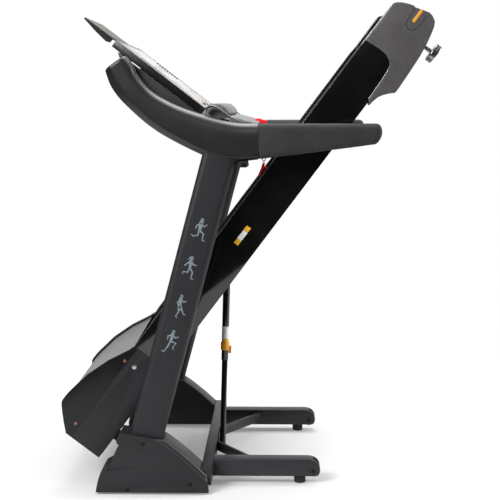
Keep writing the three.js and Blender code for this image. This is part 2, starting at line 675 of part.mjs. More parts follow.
const crossEnd = memberInner - GAP;
const fromRailEnd = ([u, v]) => [RAIL_END + u, v];
const CAP_SEAM = [[4, -51], [2, -73], [-6, -91], [-18, -100], [-40, -105], [-130, -109]].map(fromRailEnd);
const CAP_LINE = [
  [RAIL_END + GAP, 0],
  ...CAP_SEAM.map(([u, v]) => [u + GAP, v - GAP]),
  ...[
    ...smooth([[-142, -123], [-115, -127], [-92, -139], [-69, -161]], 5),
    ...smooth([[-50, -161], [56, -154], [127, -141], [162, -127], [172, -101]], 8),
    [166, -78],
    [159, -58],
    ...smooth([[161, -52], [152, -26], [137, -4], [126, 0]], 5),
  ].map(fromRailEnd),
];
for (const [name, side] of SIDES) {
  const tube = box(0, MEMBER_LENGTH, side * memberInner, side * MEMBER_OUTER_Y, -DECK_DEPTH, MEMBER_TOP);
  const bore = box(
    -1, MEMBER_LENGTH + 1, side * (memberInner + WALL), side * (MEMBER_OUTER_Y - WALL),
    -DECK_DEPTH + WALL, MEMBER_TOP - WALL,
  );
  const ledge = box(
    HOOD_END, RAIL_END - 5, side * LEDGE_INNER_Y, side * (memberInner + 1), LEDGE_TOP - 3, LEDGE_TOP,
  );
  const axleSlots = [FRONT_ROLLER_U, REAR_ROLLER_U].map((u) =>
    rodY(u, rollerV, ROLLER_AXLE + RUNNING, side * (memberInner - 1), side * (MEMBER_OUTER_Y + 1)),
  );
  const studHole = rodZ(
    LEVELLER_U, side * (MEMBER_OUTER_Y - MEMBER_WIDTH / 2), STUD_RADIUS + RUNNING, -DECK_DEPTH - 1,
    -DECK_DEPTH + WALL + 1, 16,
  );
  add(deck, `deck_member_${name}`, cut(join(tube, ledge), bore, ...axleSlots, studHole), CHARCOAL);

  const sidePanel = prismY(
    [[HOOD_END, 0], [RAIL_END, 0], ...CAP_SEAM, [RAIL_END - 143, -DECK_DEPTH], [HOOD_END, -DECK_DEPTH]],
    side * (DECK_HALF_WIDTH - SKIRT_THICK), side * DECK_HALF_WIDTH,
  );
  const tread = box(HOOD_END, RAIL_END, side * RAIL_INNER_Y, side * DECK_HALF_WIDTH, -RAIL_THICK, 0);
  add(deck, `foot_rail_${name}`, join(tread, sidePanel), GLOSS);

  const capShell = prismY(CAP_LINE, side * RAIL_INNER_Y, side * (DECK_HALF_WIDTH + 3));
  const capHollow = prismY(inset(CAP_LINE, COVER_WALL), side * (RAIL_INNER_Y - 5), side * DECK_HALF_WIDTH);
  const memberWay = box(
    RAIL_END - 160, MEMBER_LENGTH + CUTOUT, side * (memberInner - CUTOUT), side * DECK_HALF_WIDTH,
    -DECK_DEPTH - CUTOUT, MEMBER_TOP + CUTOUT,
  );
  const studWay = rodZ(
    LEVELLER_U, side * (MEMBER_OUTER_Y - MEMBER_WIDTH / 2), STUD_RADIUS + 2, -200, -100, 16,
  );
  add(deck, `rear_end_cap_${name}`, cut(capShell, capHollow, memberWay, studWay), SILVER);

  const discTop = LEVELLER_BOTTOM + LEVELLER_DISC.thick;
  const studY = side * (MEMBER_OUTER_Y - MEMBER_WIDTH / 2);
  const disc = rodZ(LEVELLER_U, studY, LEVELLER_DISC.radius, LEVELLER_BOTTOM, discTop, 32);
  const stud = rodZ(LEVELLER_U, studY, STUD_RADIUS, discTop - 2, -60, 16);
  add(deck, `levelling_foot_${name}`, join(disc, stud), STEEL);
}

// Cross members of the deck. The front one hangs the hinge ears, the middle one the strut's ears.
const FRONT_MEMBER = { u: 78, half: 16, top: -92 };
const frontMember = tubeY(
  FRONT_MEMBER.u - FRONT_MEMBER.half, FRONT_MEMBER.u + FRONT_MEMBER.half, crossEnd, -DECK_DEPTH,
  FRONT_MEMBER.top,
);
const deckEars = SIDES.map(([, side]) => {
  const shape = new THREE.Shape();
  shape.moveTo(FRONT_MEMBER.u + FRONT_MEMBER.half, -DECK_DEPTH + 1);
  shape.lineTo(FRONT_MEMBER.u - FRONT_MEMBER.half, -DECK_DEPTH + 1);
  shape.lineTo(FOLD_PIVOT[0] - EAR_RADIUS, FOLD_PIVOT[1]);
  shape.absarc(FOLD_PIVOT[0], FOLD_PIVOT[1], EAR_RADIUS, Math.PI, 2 * Math.PI, false);
  return prismY(shape, side * DECK_EAR_Y, side * (DECK_EAR_Y + EAR_THICK));
});
const deckShaftHole = rodY(...FOLD_PIVOT, PIVOT_RADIUS + RUNNING, -DECK_HALF_WIDTH, DECK_HALF_WIDTH);
add(deck, "deck_front_member", cut(join(frontMember, ...deckEars), deckShaftHole), CHARCOAL);

const MEMBER_BELOW_BELT = 4.4;
const STRUT_MEMBER = {
  front: 670,
  rear: 695,
  under: beltUnder - MEMBER_BELOW_BELT - 25,
  top: beltUnder - MEMBER_BELOW_BELT,
};
const strutMemberSize = [
  STRUT_MEMBER.front, STRUT_MEMBER.rear, crossEnd, STRUT_MEMBER.under, STRUT_MEMBER.top,
];
const strutMember = box(
  STRUT_MEMBER.front, STRUT_MEMBER.rear, -crossEnd, crossEnd, STRUT_MEMBER.under, STRUT_MEMBER.top,
);
const strutEars = SIDES.map(([, side]) =>
  prismY(
    [
      [STRUT_MEMBER.rear, STRUT_MEMBER.under], [STRUT_MEMBER.rear, STRUT_MEMBER.top],
      [STRUT_UPPER[0] - 12, STRUT_MEMBER.top], [STRUT_UPPER[0] - 14, STRUT_UPPER[1] - 12],
      [STRUT_UPPER[0] + 10, STRUT_UPPER[1] - 14],
    ],
    (side * STRUT_EAR_GAP) / 2 + side * 3,
    (side * STRUT_EAR_GAP) / 2 + side * 8,
  ),
);
add(
  deck, "strut_member", cut(join(strutMember, ...strutEars), boreY(...strutMemberSize)), CHARCOAL,
);
const REAR_MEMBER_UNDER = -100;
const rearMember = tubeY(
  RAIL_END - 65, RAIL_END - 35, crossEnd, REAR_MEMBER_UNDER, beltUnder - MEMBER_BELOW_BELT - 2,
);
add(deck, "deck_rear_member", rearMember, CHARCOAL);

const boardTop = BELT_TOP - BELT_THICK - 0.5;
add(
  deck,
  "deck_board",
  box(
    FRONT_ROLLER_U + 45, RAIL_END - 5, -BOARD_HALF_WIDTH, BOARD_HALF_WIDTH,
    boardTop - BOARD_THICK, boardTop,
  ),
  WOOD,
);
const frontRoller = { x: FRONT_ROLLER_U, z: rollerV, radius: ROLLER_RADIUS };
const rearRoller = { x: REAR_ROLLER_U, z: rollerV, radius: ROLLER_RADIUS };
add(
  deck,
  "running_belt",
  bandY(frontRoller, rearRoller, GAP, GAP + BELT_THICK, -BELT_HALF_WIDTH, BELT_HALF_WIDTH),
  RUBBER,
);

const axleEnd = MEMBER_OUTER_Y - 2;
const rollerBarrel = (u) => rodY(u, rollerV, ROLLER_RADIUS, -BELT_HALF_WIDTH - 8, BELT_HALF_WIDTH + 8, 32);
const rollerAxle = (u) => rodY(u, rollerV, ROLLER_AXLE, -axleEnd, axleEnd);
const rollerPulley = rodY(FRONT_ROLLER_U, rollerV, ROLLER_PULLEY_RADIUS, PULLEY_Y, PULLEY_Y + PULLEY_WIDTH, 36);
const frontRollerSolid = join(rollerBarrel(FRONT_ROLLER_U), rollerAxle(FRONT_ROLLER_U), rollerPulley);
add(deck, "front_roller", frontRollerSolid, STEEL);
add(deck, "rear_roller", join(rollerBarrel(REAR_ROLLER_U), rollerAxle(REAR_ROLLER_U)), STEEL);

// ---- drive: motor, pulleys and ribbed belt under the hood ----------------------------------------
const motorShaftRadius = 7.5;
const motorBody = rodY(MOTOR.u, MOTOR.v, MOTOR.radius, MOTOR.inner, MOTOR.outer, 32);
const motorFoot = box(MOTOR.u - 40, MOTOR.u + 40, MOTOR.inner + 30, MOTOR.outer - 30, FRONT_MEMBER.top + GAP, MOTOR.v);
const shaftBore = rodY(MOTOR.u, MOTOR.v, motorShaftRadius + RUNNING, MOTOR.inner - 1, MOTOR.inner + 40, 16);
add(deck, "drive_motor", cut(join(motorBody, motorFoot), shaftBore), CHARCOAL);
const motorPulley = rodY(MOTOR.u, MOTOR.v, MOTOR_PULLEY_RADIUS, PULLEY_Y, PULLEY_Y + PULLEY_WIDTH, 32);
const flywheel = rodY(MOTOR.u, MOTOR.v, 40, PULLEY_Y + PULLEY_WIDTH + 8, PULLEY_Y + PULLEY_WIDTH + 28, 32);
const motorShaft = rodY(MOTOR.u, MOTOR.v, motorShaftRadius, PULLEY_Y, MOTOR.inner + 38, 16);
add(deck, "motor_shaft", join(motorPulley, flywheel, motorShaft), STEEL);
add(
  deck,
  "drive_belt",
  bandY(
    { x: MOTOR.u, z: MOTOR.v, radius: MOTOR_PULLEY_RADIUS },
    { x: FRONT_ROLLER_U, z: rollerV, radius: ROLLER_PULLEY_RADIUS },
    GAP,
    GAP + DRIVE_BELT_THICK,
    PULLEY_Y + 2,
    PULLEY_Y + PULLEY_WIDTH - 2,
  ),
  RUBBER,
);
const controllerOuter = memberInner - 15;
add(
  deck,
  "motor_controller",
  box(24, 190, controllerOuter - 150, controllerOuter, FRONT_MEMBER.top + GAP + 2, -38),
  STEEL,
);

// ---- hood and belly pan --------------------------------------------------------------------------
const HOOD_LINE = [
  [0, 8], ...smooth([[24, 34], [60, 68], [78, 76], [110, 74]], 6), [183, 62], [254, 38], [315, 8], [HOOD_END - GAP, 0],
];
const hoodBottom = MEMBER_TOP + GAP;
const HOOD_OUTLINE = [[0, hoodBottom], ...HOOD_LINE, [HOOD_END - GAP, hoodBottom]];
const lowered = (drop) => HOOD_LINE.map(([u, v]) => [u, v - drop]);
const RIM = 22;
const RIM_HEIGHT = 8;
const hoodHalf = MEMBER_OUTER_Y;
const dish = [...lowered(RIM_HEIGHT).slice(1), [HOOD_END + 5, -RIM_HEIGHT], [HOOD_END + 5, 120], [24, 120]];
const bay = (drop) => {
  const ceiling = lowered(drop).map(([u, v]) => [Math.min(Math.max(u, COVER_WALL), HOOD_END - 30), v]);
  return [[COVER_WALL, -60], ...ceiling.filter(([, v]) => v > -4), [HOOD_END - 30, -60]];
};
const beltWay = box(HOOD_END - 80, HOOD_END + 10, -hoodHalf + RIM, hoodHalf - RIM, -60, BELT_TOP + 7);
add(
  deck,
  "motor_hood",
  cut(
    prismY(HOOD_OUTLINE, -hoodHalf, hoodHalf),
    prismY(dish, -hoodHalf + RIM, hoodHalf - RIM),
    prismY(bay(RIM_HEIGHT + COVER_WALL), -hoodHalf + RIM - 4, hoodHalf - RIM + 4),
    beltWay,
  ),
  SILVER,
);

const panHalf = DECK_EAR_Y - 6;
const panTop = -DECK_DEPTH - GAP;
const panFloor = box(-COVER_WALL - GAP, 316, -panHalf, panHalf, panTop - COVER_WALL, panTop);
const panNose = box(-COVER_WALL - GAP, -GAP, -panHalf, panHalf, panTop - COVER_WALL, hoodBottom - GAP);
const SWITCH = { y: 150, v: -60, halfWidth: 11, halfHeight: 15 };
const switchHole = box(
  -10, 1, SWITCH.y - SWITCH.halfWidth - 0.6, SWITCH.y + SWITCH.halfWidth + 0.6,
  SWITCH.v - SWITCH.halfHeight - 0.6, SWITCH.v + SWITCH.halfHeight + 0.6,
);
const inletHole = box(-10, 1, 195, 223, SWITCH.v - 10, SWITCH.v + 10);
add(deck, "belly_pan", cut(join(panFloor, panNose), switchHole, inletHole), COVER);
const rockerLine = [
  [-COVER_WALL - 4, SWITCH.v + SWITCH.halfHeight], [-COVER_WALL - 1.5, SWITCH.v],
  [-COVER_WALL - 0.8, SWITCH.v - SWITCH.halfHeight], [8, SWITCH.v - SWITCH.halfHeight + 6],
  [8, SWITCH.v + SWITCH.halfHeight - 6],
];
add(
  deck,
  "power_switch",
  prismY(rockerLine, SWITCH.y - SWITCH.halfWidth, SWITCH.y + SWITCH.halfWidth),
  RED,
);

// ---- lift strut: lower tube on the base, sleeve on the deck, lock collar on the sleeve -----------
const strutTop = folded(STRUT_UPPER);
const strutRise = [strutTop[0] - STRUT_LOWER[0], strutTop[1] - STRUT_LOWER[1]];
const strutLength = Math.hypot(...strutRise);
const strutLean = Math.atan2(strutRise[0], strutRise[1]);
const strut = new THREE.Group();
strut.position.set(STRUT_LOWER[0], 0, STRUT_LOWER[1]);
strut.rotation.y = strutLean;
root.add(strut);

const pinRadius = 4;
const eyeHalf = STRUT_EYE_WIDTH / 2;
const bracketInner = STRUT_EAR_GAP / 2;
const bracketBack = CROSS_X + GAP;
const bracketPlate = box(bracketBack, bracketBack + 3, -bracketInner - 4, bracketInner + 4, 12, 60);
const bracketEars = SIDES.map(([, side]) => {
  const shape = new THREE.Shape();
  shape.moveTo(bracketBack + 2, 12);
  shape.lineTo(STRUT_LOWER[0], STRUT_LOWER[1] - 11);
  shape.absarc(STRUT_LOWER[0], STRUT_LOWER[1], 11, -Math.PI / 2, Math.PI / 2, false);
  shape.lineTo(bracketBack + 2, 44);
  return prismY(shape, side * bracketInner, side * (bracketInner + 4));
});
const bracketPin = rodY(...STRUT_LOWER, pinRadius, -bracketInner - 6, bracketInner + 6, 16);
add(base, "strut_bracket", join(bracketPlate, ...bracketEars, bracketPin), CHARCOAL);

const lowerTube = rodZ(0, 0, STRUT_TUBE_RADIUS, 6, STRUT_TUBE_END);
const lowerEye = rodY(0, 0, STRUT_EYE_RADIUS, -eyeHalf, eyeHalf);
const lowerBore = rodY(0, 0, pinRadius + RUNNING, -eyeHalf - 1, eyeHalf + 1, 16);
add(strut, "strut_tube", cut(join(lowerTube, lowerEye), lowerBore), GLOSS);

const sleeveBore = STRUT_TUBE_RADIUS + (SLEEVE_RADIUS - STRUT_TUBE_RADIUS - SLEEVE_WALL);
const sleeveTop = strutLength - STRUT_EYE_RADIUS;
const sleeve = cut(
  join(
    rodZ(0, 0, SLEEVE_RADIUS, SLEEVE_START, sleeveTop + 4, 32),
    rodY(0, strutLength, STRUT_EYE_RADIUS + 2, -eyeHalf, eyeHalf),
    rodY(0, strutLength, pinRadius, -bracketInner, bracketInner, 16),
  ),
  rodZ(0, 0, sleeveBore, SLEEVE_START - 1, sleeveTop - 3, 32),
);
add(strut, "strut_sleeve", sleeve, GLOSS);

const collarRadius = SLEEVE_RADIUS + 3;
const collarRing = rodZ(0, 0, collarRadius, COLLAR_START, COLLAR_START + COLLAR_LENGTH, 32);
const collarTab = box(2, collarRadius + 6, -7, 7, COLLAR_START - 10, COLLAR_START + 12);
const collarBore = rodZ(0, 0, SLEEVE_RADIUS + RUNNING, COLLAR_START - 20, COLLAR_START + 40, 32);
add(strut, "lock_collar", cut(join(collarRing, collarTab), collarBore), ORANGE);

// ---- the part's origin: on the floor, under the middle of its box --------------------------------
root.updateMatrixWorld(true);
const extent = new THREE.Box3().setFromObject(root, true);
root.position.set(-(extent.min.x + extent.max.x) / 2, -(extent.min.y + extent.max.y) / 2, -extent.min.z);

export default root;
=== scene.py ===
# A folding motorised treadmill, standing folded. Metres, +Z up; the user faces -X and +Y is their right.
# The sections follow the machine as it is put together, from the floor up, then the folded deck.
import math

import bmesh
import bpy
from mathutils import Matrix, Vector, noise


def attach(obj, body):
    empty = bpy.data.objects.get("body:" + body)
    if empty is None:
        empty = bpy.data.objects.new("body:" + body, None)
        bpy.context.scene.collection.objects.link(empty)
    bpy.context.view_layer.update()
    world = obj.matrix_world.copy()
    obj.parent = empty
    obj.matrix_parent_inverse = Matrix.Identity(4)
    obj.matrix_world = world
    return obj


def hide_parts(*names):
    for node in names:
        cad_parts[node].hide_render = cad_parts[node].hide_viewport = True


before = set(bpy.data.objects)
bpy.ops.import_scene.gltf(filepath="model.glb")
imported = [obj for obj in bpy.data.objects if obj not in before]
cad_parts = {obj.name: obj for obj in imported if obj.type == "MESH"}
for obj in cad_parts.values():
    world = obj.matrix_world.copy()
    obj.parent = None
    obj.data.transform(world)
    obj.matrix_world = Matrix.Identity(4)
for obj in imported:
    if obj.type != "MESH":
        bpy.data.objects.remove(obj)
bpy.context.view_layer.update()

# ---- camera and studio -------------------------------------------------------------------------
# A long lens a little above the handrail looks level along +Y at the machine's left side. A pale
# floor, a white surround and three large soft boxes light it.
camera_data = bpy.data.cameras.new("studio_camera")
camera_data.lens = 88.85
camera_data.shift_y = -0.08
camera_data.sensor_width = 36
camera = bpy.data.objects.new("studio_camera", camera_data)
camera.location = (0.1002, -3.902, 1.1287)
camera.rotation_euler = (math.radians(85.02), math.radians(0.1165), math.radians(1.523))
bpy.context.scene.collection.objects.link(camera)
bpy.context.scene.camera = camera
bpy.context.scene.view_settings.view_transform = "Standard"

world = bpy.data.worlds.new("white_surround")
bpy.context.scene.world = world
world.use_nodes = True
sky = world.node_tree
sky.nodes.clear()
direction = sky.nodes.new("ShaderNodeTexCoord")
split = sky.nodes.new("ShaderNodeSeparateXYZ")
height_ramp = sky.nodes.new("ShaderNodeValToRGB")
height_ramp.color_ramp.elements[0].position = 0.3
height_ramp.color_ramp.elements[0].color = (0.035, 0.035, 0.037, 1)
height_ramp.color_ramp.elements[1].position = 0.95
height_ramp.color_ramp.elements[1].color = (0.55, 0.55, 0.55, 1)
room_light = sky.nodes.new("ShaderNodeBackground")
backdrop = sky.nodes.new("ShaderNodeBackground")
backdrop.inputs["Color"].default_value = (1, 1, 1, 1)
ray = sky.nodes.new("ShaderNodeLightPath")
either = sky.nodes.new("ShaderNodeMixShader")
sky_out = sky.nodes.new("ShaderNodeOutputWorld")
far_wall = sky.nodes.new("ShaderNodeMapRange")
far_wall.inputs["From Min"].default_value = 0.8
far_wall.inputs["From Max"].default_value = 0.97
brighter = sky.nodes.new("ShaderNodeMixRGB")
brighter.blend_type = "LIGHTEN"
brighter.inputs[0].default_value = 1
sky.links.new(direction.outputs["Generated"], split.inputs[0])
sky.links.new(split.outputs["Z"], height_ramp.inputs[0])
sky.links.new(split.outputs["Y"], far_wall.inputs["Value"])
sky.links.new(height_ramp.outputs[0], brighter.inputs[1])
sky.links.new(far_wall.outputs[0], brighter.inputs[2])
sky.links.new(brighter.outputs[0], room_light.inputs["Color"])
sky.links.new(ray.outputs["Is Camera Ray"], either.inputs[0])
sky.links.new(room_light.outputs[0], either.inputs[1])
sky.links.new(backdrop.outputs[0], either.inputs[2])
sky.links.new(either.outputs[0], sky_out.inputs[0])

for name, place, size, power in (
    ("key_box", (-2.2, -3.0, 2.9), (2.4, 1.4), 230),
    ("top_box", (0.2, 0.6, 3.4), (2.6, 2.2), 150),
    ("edge_box", (3.0, 0.2, 1.7), (0.8, 2.6), 90),
):
    lamp_data = bpy.data.lights.new(name, "AREA")
    lamp_data.shape = "RECTANGLE"
    lamp_data.size, lamp_data.size_y = size
    lamp_data.energy = power
    lamp = bpy.data.objects.new(name, lamp_data)
    lamp.location = place
    aim = Vector((0, 0, 0.7)) - Vector(place)
    lamp.rotation_euler = aim.to_track_quat("-Z", "Y").to_euler()
    bpy.context.scene.collection.objects.link(lamp)


def piece(name, verts, faces, *materials, smooth_angle=0.6):
    """A named mesh in the frame, smooth except across its sharp edges."""
    mesh = bpy.data.meshes.new(name)
    mesh.from_pydata([tuple(v) for v in verts], [], faces)
    return placed(name, mesh, *materials, smooth_angle=smooth_angle)


def placed(name, mesh, *materials, smooth_angle=0.6):
    """A mesh with its finishes, put in the frame as an object."""
    for material in materials:
        mesh.materials.append(material)
    mesh.shade_smooth()
    mesh.set_sharp_from_angle(angle=smooth_angle)
    made = bpy.data.objects.new(name, mesh)
    bpy.context.scene.collection.objects.link(made)
    return made


def turns(steps):
    """The angles of even steps round a circle."""
    return [2 * math.pi * k / steps for k in range(steps)]


def coat(name, colour, roughness, grain=900, depth=0.08, mottle=0.1, metallic=0.0, ease=0.0, **sockets):
    """A finish with a fine grain, a slow change of tone and uneven gloss, on Object coordinates."""
    material = bpy.data.materials.new(name)
    material.use_nodes = True
    nodes, links = material.node_tree.nodes, material.node_tree.links
    shader = nodes["Principled BSDF"]
    shader.inputs["Metallic"].default_value = metallic
    for socket, value in sockets.items():
        shader.inputs[socket.replace("_", " ")].default_value = value
    where = nodes.new("ShaderNodeTexCoord")
    slow = nodes.new("ShaderNodeTexNoise")
    slow.inputs["Scale"].default_value = 14
    slow.inputs["Detail"].default_value = 4
    tone = nodes.new("ShaderNodeValToRGB")
    tone.color_ramp.elements[0].position = 0.3
    tone.color_ramp.elements[0].color = (*[c * (1 - mottle) for c in colour], 1)
    tone.color_ramp.elements[1].position = 0.7
    tone.color_ramp.elements[1].color = (*[c * (1 + mottle) for c in colour], 1)
    gloss = nodes.new("ShaderNodeMapRange")
    gloss.inputs["To Min"].default_value = max(roughness - 0.05, 0.02)
    gloss.inputs["To Max"].default_value = roughness + 0.06
    fine = nodes.new("ShaderNodeTexNoise")
    fine.inputs["Scale"].default_value = grain
    fine.inputs["Detail"].default_value = 2
    relief = nodes.new("ShaderNodeBump")
    relief.inputs["Strength"].default_value = depth
    relief.inputs["Distance"].default_value = 0.0005
    links.new(where.outputs["Object"], slow.inputs["Vector"])
    links.new(where.outputs["Object"], fine.inputs["Vector"])
    links.new(slow.outputs["Fac"], tone.inputs["Fac"])
    links.new(slow.outputs["Fac"], gloss.inputs["Value"])
    links.new(fine.outputs["Fac"], relief.inputs["Height"])
    links.new(tone.outputs["Color"], shader.inputs["Base Color"])
    links.new(gloss.outputs["Result"], shader.inputs["Roughness"])
    links.new(relief.outputs["Normal"], shader.inputs["Normal"])
    if ease:
        rounding = nodes.new("ShaderNodeBevel")
        rounding.inputs["Radius"].default_value = ease
        links.new(rounding.outputs["Normal"], relief.inputs["Normal"])
    return material


floor_paint = coat(
    "floor_paint", (0.52, 0.52, 0.52), 0.8, grain=60, depth=0.02, mottle=0.01,
    Emission_Color=(1, 1, 1, 1), Emission_Strength=0.2,
)
FLOOR_RADIUS, FLOOR_STEPS, FLOOR_DROP = 1.9, 96, 0.0005
floor = piece(
    "studio_floor",
    [
        (FLOOR_RADIUS * math.cos(t), FLOOR_RADIUS * math.sin(t), -FLOOR_DROP)
        for t in turns(FLOOR_STEPS)
    ],
    [tuple(range(FLOOR_STEPS))],
    floor_paint,
)

# ---- lanyard -----------------------------------------------------------------------------------
# A thin red braided cord, both ends sewn into the safety key, hanging in one long loop. The clip
# that goes on the user's clothes hangs in its bight.
lanyard_braid = coat("lanyard_braid", (0.62, 0.012, 0.02), 0.75, grain=1500, depth=0.5, mottle=0.2)
CORD_RADIUS = 0.0015
LANYARD_ROUTE = [
    (0.0348, 1.0656), (0.0348, 1.05), (0.0346, 1.03), (0.0344, 1.008), (0.0344, 0.986),
    (0.0346, 0.966), (0.0352, 0.95), (0.037, 0.9446), (0.0401, 0.9425), (0.0432, 0.9446),
    (0.045, 0.95), (0.0456, 0.966), (0.0458, 0.986), (0.0458, 1.008), (0.0458, 1.03),
    (0.0458, 1.05), (0.0458, 1.0656),
]
lanyard_line = bpy.data.curves.new("lanyard_cord", "CURVE")
lanyard_line.dimensions = "3D"
lanyard_line.bevel_depth = CORD_RADIUS
lanyard_line.bevel_resolution = 3
lanyard_line.use_fill_caps = True
strand = lanyard_line.splines.new("POLY")
strand.points.add(len(LANYARD_ROUTE) - 1)
for point, (x, z) in zip(strand.points, LANYARD_ROUTE):
    point.co = (x, 0, z, 1)
lanyard_line.materials.append(lanyard_braid)
lanyard = bpy.data.objects.new("lanyard_cord", lanyard_line)
bpy.context.scene.collection.objects.link(lanyard)
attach(lanyard, "safety_key")
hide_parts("lanyard")

# ---- base frame --------------------------------------------------------------------------------
# Welded rectangular steel tube in a satin charcoal powder coat: front and rear cross tubes, a side
# tube under each cover, and two legs that carry the wheels, each held square by a flat brace.
powder_charcoal = coat(
    "powder_charcoal", (0.0165, 0.0165, 0.02), 0.42, grain=1100, depth=0.2, ease=0.003,
    Specular_IOR_Level=0.4,
)
SIDES = (("left", -1), ("right", 1))
DRAWING_X = 0.112799


def drawn(*points):
    """Outline points given in millimetres on the side drawing, in the frame's X and Z."""
    return [(x / 1000 + DRAWING_X, z / 1000) for x, z in points]


def cleaned(node):
    """A copy of a CAD piece's mesh, and its working form with the cuts across flat faces gone."""
    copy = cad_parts[node].data.copy()
    copy.materials.clear()
    sculpt = bmesh.new()
    sculpt.from_mesh(copy)
    bmesh.ops.remove_doubles(sculpt, verts=sculpt.verts, dist=0.00002)
    bmesh.ops.dissolve_limit(sculpt, angle_limit=0.01, verts=sculpt.verts, edges=sculpt.edges)
    return copy, sculpt


def eased(made, width, segments, angle):
    """Rounds every edge that turns by more than an angle."""
    easing = made.modifiers.new("easing", "BEVEL")
    easing.width = width
    easing.segments = segments
    easing.limit_method = "ANGLE"
    easing.angle_limit = angle
    easing.use_clamp_overlap = True


def plain(made, smooth_angle):
    """Makes what an object's modifiers give into its own mesh."""
    evaluated = made.evaluated_get(bpy.context.evaluated_depsgraph_get())
    baked = bpy.data.meshes.new_from_object(evaluated)
    made.modifiers.clear()
    made.data = baked
    baked.shade_smooth()
    baked.set_sharp_from_angle(angle=smooth_angle)
    return baked


def softened(node, width, *materials, body, slot, segments=3, smooth_angle=0.6, pick=None):
    """A finer copy of a CAD piece: flat faces made whole, its edges eased, then a finish put on."""
    copy, sculpt = cleaned(node)
    sculpt.to_mesh(copy)
    sculpt.free()
    made = placed(node + "_skin", copy, *materials, smooth_angle=smooth_angle)
    eased(made, width, segments, 0.55)
    baked = plain(made, smooth_angle)
    if pick:
        for face in baked.polygons:
            face.material_index = pick(face)
    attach(made, body)
    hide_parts(node)
    return made


def outward(made):
    """Turns every face of a piece to face out."""
    sculpt = bmesh.new()
    sculpt.from_mesh(made.data)
    bmesh.ops.recalc_face_normals(sculpt, faces=sculpt.faces)
    sculpt.to_mesh(made.data)
    sculpt.free()


def ring_walls(count, rings, first=0):
    """Quads between neighbouring closed rings of count points, held one after another."""
    return [
        (a + k, a + (k + 1) % count, a + count + (k + 1) % count, a + count + k)
        for a in range(first, first + count * (rings - 1), count)
        for k in range(count)
    ]


def lofted(name, rings, *materials, smooth_angle=0.6):
    """A skin over rings of equal count, with both ends closed."""
    count = len(rings[0])
    verts = [point for ring in rings for point in ring]
    faces = ring_walls(count, len(rings))
    faces += [tuple(reversed(range(count))), tuple(range(len(verts) - count, len(verts)))]
    made = piece(name, verts, faces, *materials, smooth_angle=smooth_angle)
    outward(made)
    return made


for node in ("rear_cross_tube", "front_cross_tube"):
    softened(node, 0.0035, powder_charcoal, body="frame", slot="frame_paint")
for side, _ in SIDES:
    for part in ("side_tube", "leg", "brace"):
        softened(f"{part}_{side}", 0.0035, powder_charcoal, body="frame", slot="frame_paint")

# A plastic plug closes each end of the rear cross tube, pressed in and dished.
plug_nylon = coat("plug_nylon", (0.012, 0.012, 0.013), 0.5, ease=0.001)
CROSS_BACK = DRAWING_X - 0.22
PLUG_PROFILE = ((0, 0.0), (0.0012, 0.0018), (0.004, 0.0026), (0.0065, 0.0014))
for side, sign in SIDES:
    rings = []
    for shrink, rise in PLUG_PROFILE:
        low_x, high_x = CROSS_BACK - 0.03 + shrink, CROSS_BACK - shrink
        low_z, high_z = 0.0235 + shrink, 0.0735 - shrink
        y = sign * (0.4121 + rise)
        rings.append([(low_x, y, low_z), (high_x, y, low_z), (high_x, y, high_z), (low_x, y, high_z)])
    plug = lofted(f"cross_tube_plug_{side}", rings, plug_nylon, smooth_angle=0.4)
    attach(plug, "frame")


class Tree:
    """A Geometry Nodes tree under construction, with its named inputs."""

    def __init__(self, name, **inputs):
        self.group = bpy.data.node_groups.new(name, "GeometryNodeTree")
        self.group.interface.new_socket(name="Geometry", in_out="INPUT", socket_type="NodeSocketGeometry")
        self.sockets = {}
        for label, kind in inputs.items():
            made = self.group.interface.new_socket(
                name=label.replace("_", " ").title(), in_out="INPUT", socket_type="NodeSocket" + kind
            )
            self.sockets[label] = made.identifier
        self.group.interface.new_socket(name="Geometry", in_out="OUTPUT", socket_type="NodeSocketGeometry")
        self.start = self.group.nodes.new("NodeGroupInput")

    def add(self, kind, settings=None, **links):
        """A node, its settings, and for each input either a constant or another node's output."""
        prefix = "" if kind.startswith(("Shader", "Function")) else "GeometryNode"
        node = self.group.nodes.new(prefix + kind)
        for key, value in (settings or {}).items():
            setattr(node, key, value)
        for label, value in links.items():
            label = label.replace("_", " ")
            socket = next(s for s in node.inputs if s.name == label and s.enabled)
            if isinstance(value, bpy.types.NodeSocket):
                self.group.links.new(value, socket)
            else:
                socket.default_value = value
        return node

    def given(self, label):
        """The output that carries a named input of the tree."""
        return self.start.outputs[label.replace("_", " ").title()]

    def row(self, count="count"):
        """A line of points from the tree's start to its end."""
        line = self.add("MeshLine", {"mode": "END_POINTS"})
        for label, socket in ((count, "Count"), ("start", "Start Location"), ("end", "Offset")):
            self.group.links.new(self.given(label), line.inputs[socket])
        return line.outputs[0]

    def close(self, geometry, material):
        """Realize Instances, then Set Material, then out."""
        real = self.add("RealizeInstances", Geometry=geometry)
        painted = self.add("SetMaterial", Geometry=real.outputs[0], Material=material)
        end = self.group.nodes.new("NodeGroupOutput")
        self.group.links.new(painted.outputs[0], end.inputs[0])

    def grow(self, name, body, slot, seed_mesh=None, smooth_angle=0.6, **values):
        """Runs the tree on a seed mesh and leaves a plain mesh that rides on one body."""
        made = bpy.data.objects.new(name, seed_mesh or bpy.data.meshes.new(name + "_seed"))
        bpy.context.scene.collection.objects.link(made)
        growth = made.modifiers.new("growth", "NODES")
        growth.node_group = self.group
        for label, value in values.items():
            growth[self.sockets[label]] = value
        plain(made, smooth_angle)
        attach(made, body)
        return made


def points_facing(name, places):
    """A seed mesh of loose points, each with the direction its fastener faces."""
    seed = bpy.data.meshes.new(name + "_places")
    seed.from_pydata([place for place, _ in places], [], [])
    facing = seed.attributes.new("facing", "FLOAT_VECTOR", "POINT")
    for k, (_, direction) in enumerate(places):
        facing.data[k].vector = direction
    return seed


